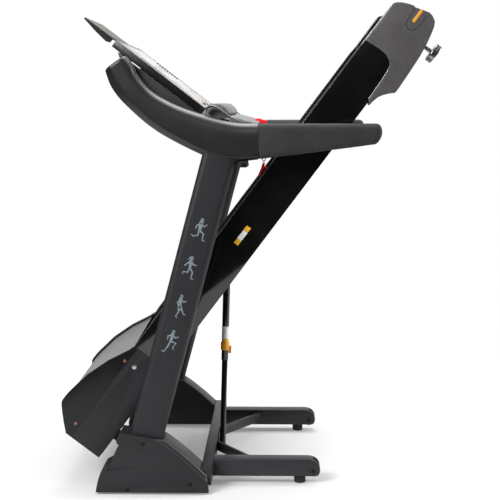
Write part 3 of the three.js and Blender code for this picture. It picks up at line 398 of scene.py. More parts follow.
# Weld beads: overlapping drops of metal under the paint where the legs meet the rear cross tube.
weld_tree = Tree(
    "weld_bead", start="Vector", end="Vector", drops="Int", drop_radius="Float", finish="Material"
)
drop = weld_tree.add("MeshIcoSphere", Radius=weld_tree.given("drop_radius"), Subdivisions=2)
laid = weld_tree.add(
    "InstanceOnPoints", Points=weld_tree.row("drops"), Instance=drop.outputs[0]
)
weld_tree.close(laid.outputs[0], weld_tree.given("finish"))
for side, sign in SIDES:
    for edge, offset in (("inner", 0.27), ("outer", 0.32)):
        low_end, high_end = ((CROSS_BACK + 0.0008, sign * offset, z) for z in (0.028, 0.069))
        weld_tree.grow(
            f"leg_weld_{edge}_{side}", "frame", "frame_paint",
            start=low_end, end=high_end, drops=22, drop_radius=0.0022, finish=powder_charcoal,
        )

# ---- fasteners ---------------------------------------------------------------------------------
# Pan-head machine screws and bolts with a hexagon recess. One tree turns each head to face its own
# way; black ones hold plastic, copper-coloured zinc ones hold the hood, plain zinc ones are bolts.
black_oxide = coat("black_oxide", (0.006, 0.006, 0.006), 0.35, metallic=0.6)
copper_zinc = coat("copper_zinc", (0.32, 0.17, 0.11), 0.35, metallic=0.8)
zinc_plate = coat("zinc_plate", (0.42, 0.42, 0.43), 0.32, metallic=0.95)
screw_tree = Tree(
    "hex_socket_screw", head_radius="Float", head_height="Float", recess="Float", finish="Material"
)
head = screw_tree.add(
    "MeshCylinder", Vertices=24, Radius=screw_tree.given("head_radius"),
    Depth=screw_tree.given("head_height"),
)
crown = screw_tree.add(
    "ExtrudeMesh", {"mode": "FACES"}, Mesh=head.outputs["Mesh"], Selection=head.outputs["Top"],
    Offset_Scale=0.0009,
)
crowned = screw_tree.add(
    "ScaleElements", Geometry=crown.outputs["Mesh"], Selection=crown.outputs["Top"], Scale=0.8
)
rim = screw_tree.add(
    "ExtrudeMesh", {"mode": "FACES"}, Mesh=crowned.outputs[0], Selection=crown.outputs["Top"],
    Offset_Scale=0.0,
)
socket = screw_tree.add(
    "ScaleElements", Geometry=rim.outputs["Mesh"], Selection=rim.outputs["Top"],
    Scale=screw_tree.given("recess"),
)
depth = screw_tree.add("ShaderNodeMath", {"operation": "MULTIPLY"})
screw_tree.group.links.new(screw_tree.given("head_height"), depth.inputs[0])
depth.inputs[1].default_value = -0.7
sunk = screw_tree.add(
    "ExtrudeMesh", {"mode": "FACES"}, Mesh=socket.outputs[0], Selection=rim.outputs["Top"],
    Offset_Scale=depth.outputs[0],
)
facing = screw_tree.add("InputNamedAttribute", {"data_type": "FLOAT_VECTOR"}, Name="facing")
turn = screw_tree.add("FunctionNodeAlignRotationToVector", {"axis": "Z"}, Vector=facing.outputs[0])
driven = screw_tree.add(
    "InstanceOnPoints", Points=screw_tree.start.outputs["Geometry"], Instance=sunk.outputs["Mesh"],
    Rotation=turn.outputs[0],
)
screw_tree.close(driven.outputs[0], screw_tree.given("finish"))


def screws(name, body, places, radius, height, finish, slot, recess=0.55):
    """One screw or bolt head at each place, facing its own way."""
    return screw_tree.grow(
        name, body, slot, points_facing(name, places), smooth_angle=0.5,
        head_radius=radius, head_height=height, recess=recess, finish=finish,
    )


# ---- pads and transport wheels -----------------------------------------------------------------
# Four moulded rubber pads carry the frame. A nylon wheel with a soft rounded tread turns on a bolt
# in each leg's slot, just clear of the floor until the machine is tipped back.
pad_rubber = coat("pad_rubber", (0.012, 0.012, 0.012), 0.78, grain=500, depth=0.3)
wheel_nylon = coat("wheel_nylon", (0.014, 0.014, 0.015), 0.38, grain=700, depth=0.1)
for side, _ in SIDES:
    for end in ("rear", "front"):
        softened(f"{end}_pad_{side}", 0.002, pad_rubber, body="frame", slot="pad_rubber")


def turned(name, profile, centre, *materials, steps=48, smooth_angle=0.5):
    """A solid turned about an axis along Y through a centre, from (radius, y) pairs, ends closed."""
    cx, cy, cz = centre
    verts = [
        (cx + radius * math.cos(t), cy + y, cz + radius * math.sin(t))
        for radius, y in profile
        for t in turns(steps)
    ]
    faces = ring_walls(steps, len(profile))
    faces += [tuple(reversed(range(steps))), tuple(range(len(verts) - steps, len(verts)))]
    made = piece(name, verts, faces, *materials, smooth_angle=smooth_angle)
    outward(made)
    return made


WHEEL_CENTRE_X, WHEEL_Y, WHEEL_CENTRE_Z = 0.1901, 0.295, 0.0388
TREAD = (
    (0.0045, -0.0135), (0.0075, -0.0135), (0.0075, -0.009), (0.0165, -0.009), (0.0175, -0.0118),
    (0.0192, -0.0119), (0.0204, -0.0108), (0.021, -0.0085), (0.021, 0.0085), (0.0204, 0.0108),
    (0.0192, 0.0119), (0.0175, 0.0118), (0.0165, 0.009), (0.0075, 0.009), (0.0075, 0.0135),
    (0.0045, 0.0135),
)
for side, sign in SIDES:
    hub = (WHEEL_CENTRE_X, sign * WHEEL_Y, WHEEL_CENTRE_Z)
    wheel = turned(f"wheel_{side}_tread", TREAD, hub, wheel_nylon)
    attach(wheel, f"wheel_{side}")
    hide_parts(f"transport_wheel_{side}")
    axle_ends = [
        ((hub[0], sign * WHEEL_Y + end * 0.0262, hub[2]), (0, end, 0))
        for end in (-1, 1)
    ]
    screws(f"wheel_bolts_{side}", "frame", axle_ends, 0.0062, 0.0026, black_oxide, "frame_paint")

# ---- uprights ----------------------------------------------------------------------------------
# Two leaning steel tubes with full-radius corners in a finely textured charcoal coat. Printed up the
# outer face of each are four small running figures in grey-blue, our own drawing.
upright_coat = coat(
    "upright_coat", (0.0125, 0.012, 0.015), 0.5, grain=1500, depth=0.35, mottle=0.06,
    Specular_IOR_Level=0.35,
)
for side, _ in SIDES:
    softened(
        f"upright_{side}", 0.0006, upright_coat, body="frame", slot="upright_paint", segments=1
    )

figure_ink = coat("figure_ink", (0.155, 0.2, 0.22), 0.5, grain=1500, depth=0.1, mottle=0.05)
RUNNERS = (
    # head, neck, hip, then front arm, rear arm, front leg, rear leg, as points in a 72 mm tall figure
    {"head": (8, 66), "body": [(5, 58), (-1, 36)], "wide": 6.2, "limbs": (
        [(4, 56), (12, 46), (20, 51)], [(3, 56), (-8, 50), (-12, 42)],
        [(-1, 36), (10, 25), (6, 8), (12, 5)], [(-2, 36), (-6, 22), (-20, 20), (-24, 25)])},
    {"head": (7, 66), "body": [(4, 58), (0, 38)], "wide": 5.0, "tail": [(3, 68), (-5, 62)], "limbs": (
        [(4, 56), (10, 46), (18, 44)], [(3, 56), (-7, 51), (-15, 45)],
        [(0, 38), (7, 24), (2, 7), (8, 4)], [(-1, 38), (-7, 25), (-19, 27), (-22, 21)])},
    {"head": (6, 66), "body": [(3, 58), (0, 38)], "wide": 5.4, "skirt": True, "limbs": (
        [(3, 56), (11, 49), (18, 51)], [(2, 56), (-7, 48), (-5, 40)],
        [(2, 34), (7, 22), (9, 13), (14, 12)], [(-2, 34), (-5, 19), (-13, 8), (-9, 3)])},
    {"head": (9, 66), "body": [(6, 58), (0, 38)], "wide": 5.2, "limbs": (
        [(6, 56), (14, 48), (22, 50)], [(5, 56), (-7, 54), (-9, 45)],
        [(0, 38), (14, 32), (5, 19), (8, 14)], [(-1, 38), (-8, 24), (-21, 8), (-26, 12)])},
)
runner_tree = Tree("running_figure", finish="Material")
width = runner_tree.add("InputNamedAttribute", {"data_type": "FLOAT"}, Name="width")
bones = runner_tree.add("MeshToCurve", Mesh=runner_tree.start.outputs["Geometry"])
thick = runner_tree.add("SetCurveRadius", Curve=bones.outputs[0], Radius=width.outputs[0])
section = runner_tree.add("CurvePrimitiveCircle", {"mode": "RADIUS"}, Resolution=10, Radius=1.0)
limbs = runner_tree.add(
    "CurveToMesh", Curve=thick.outputs[0], Profile_Curve=section.outputs[0], Fill_Caps=True
)
if "Scale" in limbs.inputs:
    runner_tree.group.links.new(width.outputs[0], limbs.inputs["Scale"])
ball = runner_tree.add("MeshUVSphere", Segments=12, Rings=8, Radius=1.0)
joints = runner_tree.add(
    "InstanceOnPoints", Points=runner_tree.start.outputs["Geometry"], Instance=ball.outputs[0],
    Scale=width.outputs[0],
)
both = runner_tree.group.nodes.new("GeometryNodeJoinGeometry")
runner_tree.group.links.new(limbs.outputs[0], both.inputs[0])
runner_tree.group.links.new(joints.outputs[0], both.inputs[0])
runner_tree.close(both.outputs[0], runner_tree.given("finish"))

FIGURE_FOOT_Z = (0.7305, 0.6215, 0.5115, 0.4085)
UPRIGHT_TILT = math.tan(math.radians(14.9))
UPRIGHT_FACE_Y = 0.415
INK_RISE = 0.0004
for side, sign in SIDES:
    for number, (runner, foot_z) in enumerate(zip(RUNNERS, FIGURE_FOOT_Z), 1):
        chains = [(runner["body"], [runner["wide"], runner["wide"] * 0.72])]
        for limb in runner["limbs"]:
            chains.append((limb, [2.6, 2.3, 1.7][: len(limb)] + [1.4] * (len(limb) - 3)))
        head_x, head_z = runner["head"]
        chains.append(([(head_x, head_z), (head_x + 0.4, head_z - 1)], [4.6, 4.4]))
        if "tail" in runner:
            chains.append((runner["tail"], [2.2, 1.2]))
        if "skirt" in runner:
            chains.append(([(0, 40), (0, 31)], [4.5, 7.5]))
        verts, edges, widths = [], [], []
        for chain, radii in chains:
            for k, ((x, z), radius) in enumerate(zip(chain, radii)):
                if k:
                    edges.append((len(verts) - 1, len(verts)))
                verts.append((x / 1000, 0, z / 1000))
                widths.append(radius / 1000)
        seed = bpy.data.meshes.new("skeleton")
        seed.from_pydata(verts, edges, [])
        seed.attributes.new("width", "FLOAT", "POINT").data.foreach_set("value", widths)
        figure = runner_tree.grow(
            f"runner_{number}_{side}", "frame", "upright_paint", seed, finish=figure_ink
        )
        middle_x = DRAWING_X - 0.433 + (foot_z + 0.036 - 0.0735) * UPRIGHT_TILT
        for vertex in figure.data.vertices:
            x, y, z = vertex.co
            flat = max(min(y * 0.12, INK_RISE), -INK_RISE)
            vertex.co = (middle_x + x, sign * UPRIGHT_FACE_Y + flat, foot_z + z)

# ---- base covers -------------------------------------------------------------------------------
# Moulded shells in fine-textured charcoal plastic over the foot of each upright, held by three black
# screws. A chamfer runs down the sloping rear edge, and a shallow wedge is sunk in the outer face.
cover_plastic = coat(
    "cover_plastic", (0.0105, 0.0102, 0.0125), 0.52, grain=1300, depth=0.4, mottle=0.05,
    Specular_IOR_Level=0.35,
)
# A lighter copy of the cover plastic for the faces that look up and back, the chamfer among them: painted
# light where the lamps catch those faces, not a finish of their own.
cover_slope_painted_light = coat("cover_slope_painted_light", (0.024, 0.024, 0.027), 0.45, grain=1300, depth=0.3, mottle=0.05)
WEDGE = drawn(
    (-486, 146), (-353, 114), (-350, 104), (-352, 99), (-368, 94), (-506, 68), (-520, 68), (-500, 146)
)
COVER_SCREWS = drawn((-416, 149), (-279, 31), (-461, 14))
COUNTERBORE, BORE_RADIUS, BORE_STEPS = 0.0024, 0.0062, 20
COVER_HALF_WIDTH = 0.43
for side, sign in SIDES:
    face_y = sign * COVER_HALF_WIDTH
    wedge = [(x, face_y - sign * depth, z) for depth in (0.0022, -0.004) for x, z in WEDGE]
    count = len(WEDGE)
    faces = ring_walls(count, 2) + [tuple(range(count)), tuple(range(count, 2 * count))]
    heads = [(x, face_y - sign * COUNTERBORE, z) for x, z in COVER_SCREWS]
    for x, y, z in heads:
        first = len(wedge)
        for depth_y in (y, face_y + sign * 0.004):
            for t in turns(BORE_STEPS):
                wedge.append((x + BORE_RADIUS * math.cos(t), depth_y, z + BORE_RADIUS * math.sin(t)))
        faces += ring_walls(BORE_STEPS, 2, first)
        middle = first + BORE_STEPS
        faces += [tuple(range(first, middle)), tuple(range(middle, middle + BORE_STEPS))]
    cutter = piece("wedge_cutter", wedge, faces)
    outward(cutter)
    copy, sculpt = cleaned(f"base_cover_{side}")
    low_x, low_z = DRAWING_X - 0.36, 0.045
    slope = []
    for edge in sculpt.edges:
        ends = [vertex.co for vertex in edge.verts]
        on_face = all(abs(p.y - face_y) < 0.0005 and p.x > low_x and p.z > low_z for p in ends)
        if on_face and abs(ends[0].x - ends[1].x) > 0.002:
            slope.append(edge)
    bmesh.ops.bevel(
        sculpt, geom=slope, offset=0.011, segments=1, affect="EDGES", offset_type="OFFSET",
        clamp_overlap=False,
    )
    sculpt.to_mesh(copy)
    sculpt.free()
    cover = placed(f"base_cover_{side}_skin", copy, cover_plastic, cover_slope_painted_light, smooth_angle=0.5)
    sinking = cover.modifiers.new("sinking", "BOOLEAN")
    sinking.object = cutter
    sinking.solver = "EXACT"
    eased(cover, 0.0012, 2, 0.5)
    baked = plain(cover, 0.5)
    # Faces that look up and back take the lighter copy: painted light.
    for polygon in baked.polygons:
        polygon.material_index = 1 if polygon.normal.x > 0.3 and polygon.normal.z > 0.3 else 0
    bpy.data.objects.remove(cutter)
    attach(cover, "frame")
    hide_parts(f"base_cover_{side}")
    sunk_heads = [((x, y + sign * 0.0004, z), (0, sign, 0)) for x, y, z in heads]
    screws(f"cover_screws_{side}", "frame", sunk_heads, 0.0055, 0.001, black_oxide, "cover_plastic")

# ---- console arms ------------------------------------------------------------------------------
# A long curved moulding in satin black each side. Its top is fully rounded, its outer face slightly
# crowned, and a broad chamfer that widens toward the front runs along its lower edge.
console_satin = coat("console_satin", (0.0105, 0.0104, 0.0108), 0.36, grain=1600, depth=0.15, mottle=0.05)
ARM_MIDDLE_Y = 0.385
ARM_HALF = 0.035


def through(points, count):
    """Evenly stepped points on a smooth curve through the given ones."""
    last = len(points) - 1
    line = []
    for step in range(count + 1):
        spot = step / count * last
        k = min(int(spot), last - 1)
        t = spot - k
        p0, p1, p2, p3 = (Vector(points[min(max(k + d, 0), last)]) for d in (-1, 0, 1, 2))
        line.append(
            0.5 * (2 * p1 + (p2 - p0) * t + (2 * p0 - 5 * p1 + 4 * p2 - p3) * t**2
                   + (3 * p1 - p0 - 3 * p2 + p3) * t**3)
        )
    return line


def arm_section(chamfer):
    """(across, outward) shares of one section: 0 at the underside to 1 at the top."""
    outer = [(0, 0.0), (0, 0.2), (0, 0.38), (0.012, 0.5), (0.03, 0.58)]
    outer += [(chamfer * t + 0.03 * (1 - t), 0.58 + 0.37 * t) for t in (0.35, 0.7, 1.0)]
    outer += [(chamfer + 0.02, 0.975), (chamfer + 0.1, 0.99), (0.5, 1.0), (0.62, 0.998)]
    round_top = [math.pi / 2 * k / 9 for k in range(1, 9)]
    outer += [(0.68 + 0.32 * math.sin(t), math.cos(t) ** 0.8) for t in round_top]
    inner = [(1, 0.0)] + [(0.8 + 0.2 * math.cos(t), -math.sin(t)) for t in round_top[::2]]
    inner += [(0.5, -1.0), (0.2, -1.0), (0.1, -0.98), (0.03, -0.85), (0, -0.6), (0, -0.3)]
    return outer + inner


ARM_STATIONS = 56
underside = through(
    drawn(
        (-83, 967), (-143, 961), (-180, 962), (-246, 982), (-369, 1047), (-455, 1119), (-497, 1170),
        (-515, 1216),
    ),
    ARM_STATIONS,
)
topside = through(
    drawn(
        (-83, 1070), (-151, 1073), (-243, 1096), (-320, 1124), (-384, 1161), (-424, 1206), (-438, 1237),
        (-454, 1257),
    ),
    ARM_STATIONS,
)
TIP_DOME = ((0.97, 0.0032), (0.9, 0.0058), (0.78, 0.0074), (0.6, 0.0082), (0.35, 0.0085))
for side, sign in SIDES:
    rings = []
    for k, (low, high) in enumerate(zip(underside, topside)):
        chamfer = 0.07 + 0.19 * min(k / ARM_STATIONS * 1.25, 1) ** 1.3
        rings.append(
            [
                (*low.lerp(high, across), sign * (ARM_MIDDLE_Y + ARM_HALF * out))
                for across, out in arm_section(chamfer)
            ]
        )
    tip = rings[-1]
    centre = Vector([sum(p[i] for p in tip) / len(tip) for i in range(3)])
    for share, rise in TIP_DOME:
        rings.append([centre.lerp(Vector(p), share) + Vector((-0.0012, rise, 0)) for p in tip])
    arm = lofted(
        f"console_arm_{side}_shell", [[(x, y, z) for x, z, y in ring] for ring in rings], console_satin,
        smooth_angle=0.42,
    )
    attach(arm, "frame")
    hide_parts(f"console_arm_{side}")

# ---- foam grips --------------------------------------------------------------------------------
# A closed-cell foam sleeve over each steel handrail, butted against the arm at a fine seam. It is
# deeper than it is wide, tapers to the rear, and ends in a soft slanting nose.
grip_foam = coat("grip_foam", (0.0175, 0.0175, 0.018), 0.85, grain=240, depth=1.0, mottle=0.3)
GRIP_STATIONS = 40
NOSE_STATIONS = 9
GRIP_START, GRIP_END = DRAWING_X - 0.0827, DRAWING_X + 0.2685
GRIP_NOSE, GRIP_MIDDLE_Y, GRIP_MIDDLE_Z = 0.016, 0.394, 1.0185
for side, sign in SIDES:
    rings = []
    for k in range(GRIP_STATIONS + NOSE_STATIONS + 1):
        if k <= GRIP_STATIONS:
            along, shrink = k / GRIP_STATIONS, 1.0
            x = GRIP_START + (GRIP_END - GRIP_NOSE - GRIP_START) * along
            if k == 0:
                shrink = 0.975
        else:
            t = (k - GRIP_STATIONS) / (NOSE_STATIONS + 0.6) * math.pi / 2
            along = 1
            x = GRIP_END - GRIP_NOSE + GRIP_NOSE * math.sin(t)
            shrink = math.cos(t) ** 0.7
        low = 0.967 + 0.0415 * along
        high = 1.07 - 0.0005 * along
        centre_z, half_z, half_y = (low + high) / 2, (high - low) / 2 * shrink, 0.026 * shrink
        ring = []
        for t in turns(36):
            c, s = math.cos(t), math.sin(t)
            dy = half_y * math.copysign(abs(c) ** 0.62, c)
            dz = half_z * math.copysign(abs(s) ** 0.55, s)
            lean = 0.3 * dz * max(along * 4 - 3, 0) if dz < 0 else 0.0
            spot = Vector((x + lean, sign * (GRIP_MIDDLE_Y + dy), centre_z + dz))
            swell = 0.0006 * noise.noise(spot * 42) + 0.0003 * noise.noise(spot * 130)
            ring.append((spot.x, spot.y - sign * 0.0008 + swell * c, spot.z - 0.0008 * s + swell * s))
        rings.append(ring)
    grip = lofted(f"grip_{side}_foam", rings, grip_foam, smooth_angle=1.2)
    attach(grip, "frame")
    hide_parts(f"grip_{side}")
    collar = [
        [(GRIP_START - 0.0003 + dx, y, z) for _, y, z in rings[0]] for dx in (-0.0012, 0.0004)
    ]
    seam_centre = Vector((0, sign * GRIP_MIDDLE_Y, GRIP_MIDDLE_Z))
    seam = lofted(
        f"grip_seam_{side}",
        [
            [(x, seam_centre.y + (y - seam_centre.y) * 1.01, seam_centre.z + (z - seam_centre.z) * 1.01)
             for x, y, z in ring]
            for ring in collar
        ],
        plug_nylon,
        smooth_angle=0.5,
    )
    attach(seam, "frame")

# ---- console body ------------------------------------------------------------------------------
# The shallow tray moulding between the arms, the bar across the user's side of it, and the silver
# lip that closes the foot of the display and keeps a tablet from sliding off.
tray_plastic = coat("tray_plastic", (0.018, 0.018, 0.0186), 0.45, grain=1400, depth=0.25, mottle=0.05)
trim_silver = coat("trim_silver", (0.07, 0.07, 0.073), 0.4, grain=1800, depth=0.05, metallic=0.3)
softened("console_body", 0.003, tray_plastic, body="frame", slot="console_plastic")
bridge_grey = coat("bridge_grey", (0.12, 0.118, 0.122), 0.38, grain=1600, depth=0.15, mottle=0.05)
softened("hand_bridge", 0.004, bridge_grey, body="frame", slot="console_plastic")
softened("console_trim", 0.003, bridge_grey, body="frame", slot="silver_plastic")

# Each arm carries a tongue of the same silver trim that sweeps along its top to a point.
TONGUE = drawn(
    (-232, 1104), (-224, 1118), (-205, 1117), (-180, 1101), (-158, 1086), (-132, 1076), (-105, 1072.5)
)
TONGUE_STATIONS = 26
for side, sign in SIDES:
    rings = []
    for k, spot in enumerate(through(TONGUE, TONGUE_STATIONS)):
        share = k / TONGUE_STATIONS
        half = 0.014 * (1 - share) ** 0.75 + 0.0006
        thick = 0.0042 * (1 - share) + 0.0006
        middle_y = 0.366 + 0.02 * share
        rings.append(
            [
                (spot.x, sign * (middle_y + half * math.cos(t)), spot.y + thick * math.sin(t))
                for t in turns(14)
            ]
        )
    tongue = lofted(f"trim_tongue_{side}", rings, trim_silver, smooth_angle=1.0)
    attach(tongue, "frame")

# A black steel bracket with one bolt ties each arm's underside to the rear of its upright.
BRACKET = drawn((-137, 962), (-112, 965), (-110, 950), (-116, 945), (-133, 945), (-141, 950))
BRACKET_SIDES = (0.372, 0.3722, 0.4078, 0.408)
for side, sign in SIDES:
    rings = [[(x, sign * y, z) for x, z in BRACKET] for y in BRACKET_SIDES]
    bracket = lofted(f"arm_bracket_{side}", rings, powder_charcoal, smooth_angle=0.4)
    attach(bracket, "frame")
    (bolt,) = drawn((-124, 953))
    places = [((bolt[0], sign * 0.409, bolt[1]), (0, sign, 0))]
    screws(f"arm_bolt_{side}", "frame", places, 0.0058, 0.003, black_oxide, "frame_paint")

# ---- display -----------------------------------------------------------------------------------
# A black housing with a gloss acrylic face let into it. Behind the acrylic is a smoked window with
# unlit digit bars, and below it rows of touch pads; the start and stop buttons stand just proud.
display_black = coat("display_black", (0.008, 0.008, 0.0085), 0.26, grain=1500, depth=0.02)
acrylic = coat("acrylic", (0.006, 0.006, 0.007), 0.06, grain=90, depth=0.0008, mottle=0.3, Coat_Weight=0.6)
softened("display_housing", 0.0022, display_black, body="frame", slot="console_plastic")
softened("display_face", 0.0006, acrylic, body="frame", slot="gloss_black")
PANEL_FOOT = Vector((DRAWING_X - 0.239, 0, 1.112))
PANEL_SLOPE = math.radians(37.5)
PANEL_UP = Vector((-math.cos(PANEL_SLOPE), 0, math.sin(PANEL_SLOPE)))
PANEL_OUT = Vector((math.sin(PANEL_SLOPE), 0, math.cos(PANEL_SLOPE)))


def on_panel(up, y, out):
    """A point of the display: up its face from the foot, across, and out from it."""
    return PANEL_FOOT + PANEL_UP * up + PANEL_OUT * out + Vector((0, y, 0))


def inlay(name, outlines, rise, finish):
    """Thin printed or moulded shapes on the display's face, from (up, across) outlines."""
    verts, faces = [], []
    for outline in outlines:
        count, first = len(outline), len(verts)
        for out in (0.00005, rise):
            verts += [on_panel(up, y, out) for up, y in outline]
        faces.append(tuple(first + count + k for k in range(count)))
        faces.append(tuple(first + k for k in reversed(range(count))))
        faces += ring_walls(count, 2, first)
    made = piece(name, verts, faces, finish, smooth_angle=0.5)
    outward(made)
    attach(made, "frame")
    return made


def rounded(up, y, half_up, half_y, radius, steps=6):
    """The outline of a rectangle with round corners, as (up, across) points."""
    corners = ((1, 1, 0), (-1, 1, 1), (-1, -1, 2), (1, -1, 3))
    return [
        (
            up + su * (half_up - radius) + radius * math.cos(math.pi / 2 * (turn + k / steps)),
            y + sy * (half_y - radius) + radius * math.sin(math.pi / 2 * (turn + k / steps)),
        )
        for su, sy, turn in corners
        for k in range(steps + 1)
    ]


smoked = coat("smoked_window", (0.0025, 0.003, 0.0035), 0.04, grain=90, depth=0.0008, Coat_Weight=0.8)
inlay("display_window", [rounded(0.2, 0, 0.062, 0.15, 0.012)], 0.00015, smoked)
print_grey = coat("print_grey", (0.3, 0.31, 0.32), 0.5, grain=1500, depth=0.05, mottle=0.05)
digit_bars = []
for cell_y in (-0.1, -0.066, 0.0, 0.034, 0.088, 0.122):
    for du, dy, half_u, half_w in (
        (0, 0, 0.0011, 0.0068), (0.018, 0, 0.0011, 0.0068), (-0.018, 0, 0.0011, 0.0068),
        (0.009, 0.0092, 0.0072, 0.0011), (0.009, -0.0092, 0.0072, 0.0011),
        (-0.009, 0.0092, 0.0072, 0.0011), (-0.009, -0.0092, 0.0072, 0.0011),
    ):
        digit_bars.append(rounded(0.2 + du, cell_y + dy, half_u, half_w, 0.001, 2))
unlit = coat("unlit_bars", (0.03, 0.012, 0.012), 0.2, grain=1500, depth=0.02)
inlay("digit_bars", digit_bars, 0.00022, unlit)
pad_places = [(0.09, y) for y in (-0.24, -0.2, -0.16, -0.12, 0.12, 0.16, 0.2, 0.24)]
pad_places += [(0.045, y) for y in (-0.24, -0.2, -0.16, 0.16, 0.2, 0.24)]
touch_pads = [rounded(up, y, 0.0085, 0.014, 0.004) for up, y in pad_places]
inlay("touch_pads", touch_pads, 0.00015, print_grey)
pad_faces = [rounded(up, y, 0.0075, 0.013, 0.0034) for up, y in pad_places]
inlay("touch_pad_faces", pad_faces, 0.0002, acrylic)

# A pale beige gasket shows all round the acrylic's edge.
gasket_beige = coat("gasket_beige", (0.4, 0.33, 0.26), 0.6, grain=900, depth=0.2)
GASKET_HALF, GASKET_LOW, GASKET_HIGH = 0.2915, 0.0083, 0.3167
GASKET_MIDDLE = (GASKET_LOW + GASKET_HIGH) / 2
gasket_rails = [rounded(up, 0, 0.0011, GASKET_HALF, 0.001, 2) for up in (GASKET_LOW, GASKET_HIGH)]
gasket_rails += [
    rounded(GASKET_MIDDLE, y, 0.155, 0.0011, 0.001, 2) for y in (GASKET_HALF, -GASKET_HALF)
]
inlay("display_gasket", gasket_rails, 0.0004, gasket_beige)

button_green = coat("button_green", (0.03, 0.22, 0.06), 0.3, grain=1500, depth=0.05, ease=0.0008)
button_red = coat("button_red", (0.5, 0.012, 0.015), 0.3, grain=1500, depth=0.05, ease=0.0008)
softened("start_button", 0.001, button_green, body="start_button", slot="button_green")
softened("stop_button", 0.001, button_red, body="stop_button", slot="button_red")
ring_chrome = coat("ring_chrome", (0.2, 0.2, 0.21), 0.3, grain=1500, depth=0.02, metallic=1.0)
BEZEL_PROFILE = ((0.0123, 0.0001), (0.0123, 0.0004), (0.0131, 0.0007), (0.0142, 0.0004), (0.0145, 0.0001))
BEZEL_STEPS, BUTTON_UP = 40, 0.028
for name, y in (("start", 0.06), ("stop", -0.06)):
    verts = [
        on_panel(BUTTON_UP + radius * math.cos(t), y + radius * math.sin(t), out)
        for radius, out in BEZEL_PROFILE
        for t in turns(BEZEL_STEPS)
    ]
    faces = ring_walls(BEZEL_STEPS, len(BEZEL_PROFILE) + 1)
    faces = [tuple(k % len(verts) for k in face) for face in faces]
    bezel = piece(f"{name}_bezel", verts, faces, ring_chrome, smooth_angle=0.8)
    outward(bezel)
    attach(bezel, "frame")

# Speaker slots: two fans of short slots, one each side of the window. The same tree lays the
# ribs, pinstripes and vents of the deck.
bar_tree = Tree(
    "raised_bars", start="Vector", end="Vector", count="Int", size="Vector", tilt="Vector",
    finish="Material",
)
bar = bar_tree.add("MeshCube", Size=bar_tree.given("size"))
bar_turn = bar_tree.add("FunctionNodeEulerToRotation", Euler=bar_tree.given("tilt"))
bar_set = bar_tree.add(
    "InstanceOnPoints", Points=bar_tree.row(), Instance=bar.outputs["Mesh"],
    Rotation=bar_turn.outputs[0],
)
bar_tree.close(bar_set.outputs[0], bar_tree.given("finish"))
# Near-black bars laid on the surface stand for the slots: painted shade where the inside of each opening
# falls dark.
slot_painted_shade = coat("slot_painted_shade", (0.001, 0.001, 0.001), 0.9, grain=900, depth=0.0)
for side, sign in SIDES:
    first_slot, last_slot = (tuple(on_panel(up, sign * 0.23, 0.0002)) for up in (0.16, 0.24))
    bar_tree.grow(
        f"speaker_slots_{side}", "frame", "console_plastic",
        start=first_slot, end=last_slot, count=9, size=(0.003, 0.05, 0.0008),
        tilt=(0, PANEL_SLOPE, 0), finish=slot_painted_shade,
    )

# ---- tablet rest -------------------------------------------------------------------------------
# A stiff plate hinged at the top of the display. Its back is black and its front a warm grey, with
# a black rib at each side.
rest_grey = coat(
    "rest_grey", (0.085, 0.078, 0.07), 0.62, grain=1300, depth=0.15, mottle=0.06,
    Specular_IOR_Level=0.2,
)
REST_SLOPE = math.radians(37)
REST_NORMAL = Vector((math.sin(REST_SLOPE), 0, math.cos(REST_SLOPE)))
softened(
    "tablet_rest", 0.0012, display_black, rest_grey, body="tablet_rest", slot="console_plastic",
    pick=lambda face: 1 if Vector(face.normal).dot(REST_NORMAL) > 0.9 else 0,
)

REST_PIVOT = Vector((-0.39526, 0, 1.30837))
REST_UP = Vector((-math.cos(REST_SLOPE), 0, math.sin(REST_SLOPE)))
RIB_EDGE = (
    (0.018, 0.002), (0.1235, 0.0015), (0.1235, -0.003), (0.07, -0.0135), (0.03, -0.0185),
    (0.018, -0.013),
)
RIB_SIDES = (0.1795, 0.18, 0.1825, 0.183)
for side, sign in SIDES:
    edge = [REST_PIVOT + REST_UP * along + REST_NORMAL * out for along, out in RIB_EDGE]
    rings = [[spot + Vector((0, sign * y, 0)) for spot in edge] for y in RIB_SIDES]
    rib = lofted(f"rest_rib_{side}", rings, display_black, smooth_angle=0.4)
    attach(rib, "tablet_rest")

# ---- safety key --------------------------------------------------------------------------------
# A red two-prong key held by a magnet in the bar, and the sprung clip of the same red plastic.
key_red = coat("key_red", (0.9, 0.015, 0.02), 0.28, grain=900, depth=0.05, mottle=0.06)
softened("safety_key", 0.0022, key_red, body="safety_key", slot="key_red")
softened("lanyard_clip", 0.0009, key_red, body="safety_key", slot="key_red", segments=2)

# ---- deck frame --------------------------------------------------------------------------------
# Two long side tubes and three cross members, welded up square in the same charcoal coat, hung on
# the fold shaft through a pair of ears. The shaft is black oxide.
DECK_CORNER = Vector((DRAWING_X - 0.654, 0, 0.1415))
DECK_SLOPE = math.radians(53)
DECK_ALONG = Vector((math.cos(DECK_SLOPE), 0, math.sin(DECK_SLOPE)))
DECK_NORMAL = Vector((-math.sin(DECK_SLOPE), 0, math.cos(DECK_SLOPE)))


def on_deck(u, y, v):
    """A point of the deck in millimetres: along from its front corner, across, above its rails."""
    return DECK_CORNER + DECK_ALONG * (u / 1000) + DECK_NORMAL * (v / 1000) + Vector((0, y / 1000, 0))


member_charcoal = coat(
    "member_charcoal", (0.01, 0.01, 0.012), 0.4, grain=1100, depth=0.15, ease=0.002,
    Specular_IOR_Level=0.35,
)
DECK_STEEL = (
    "deck_member_left", "deck_member_right", "deck_front_member", "strut_member", "deck_rear_member",
)
for node in DECK_STEEL:
    softened(node, 0.0025, member_charcoal, body="deck", slot="frame_paint")
steel_turned = coat("steel_turned", (0.5, 0.5, 0.51), 0.28, grain=600, depth=0.1, metallic=0.95, ease=0.001)
softened("fold_shaft", 0.0012, black_oxide, body="frame", slot="steel")

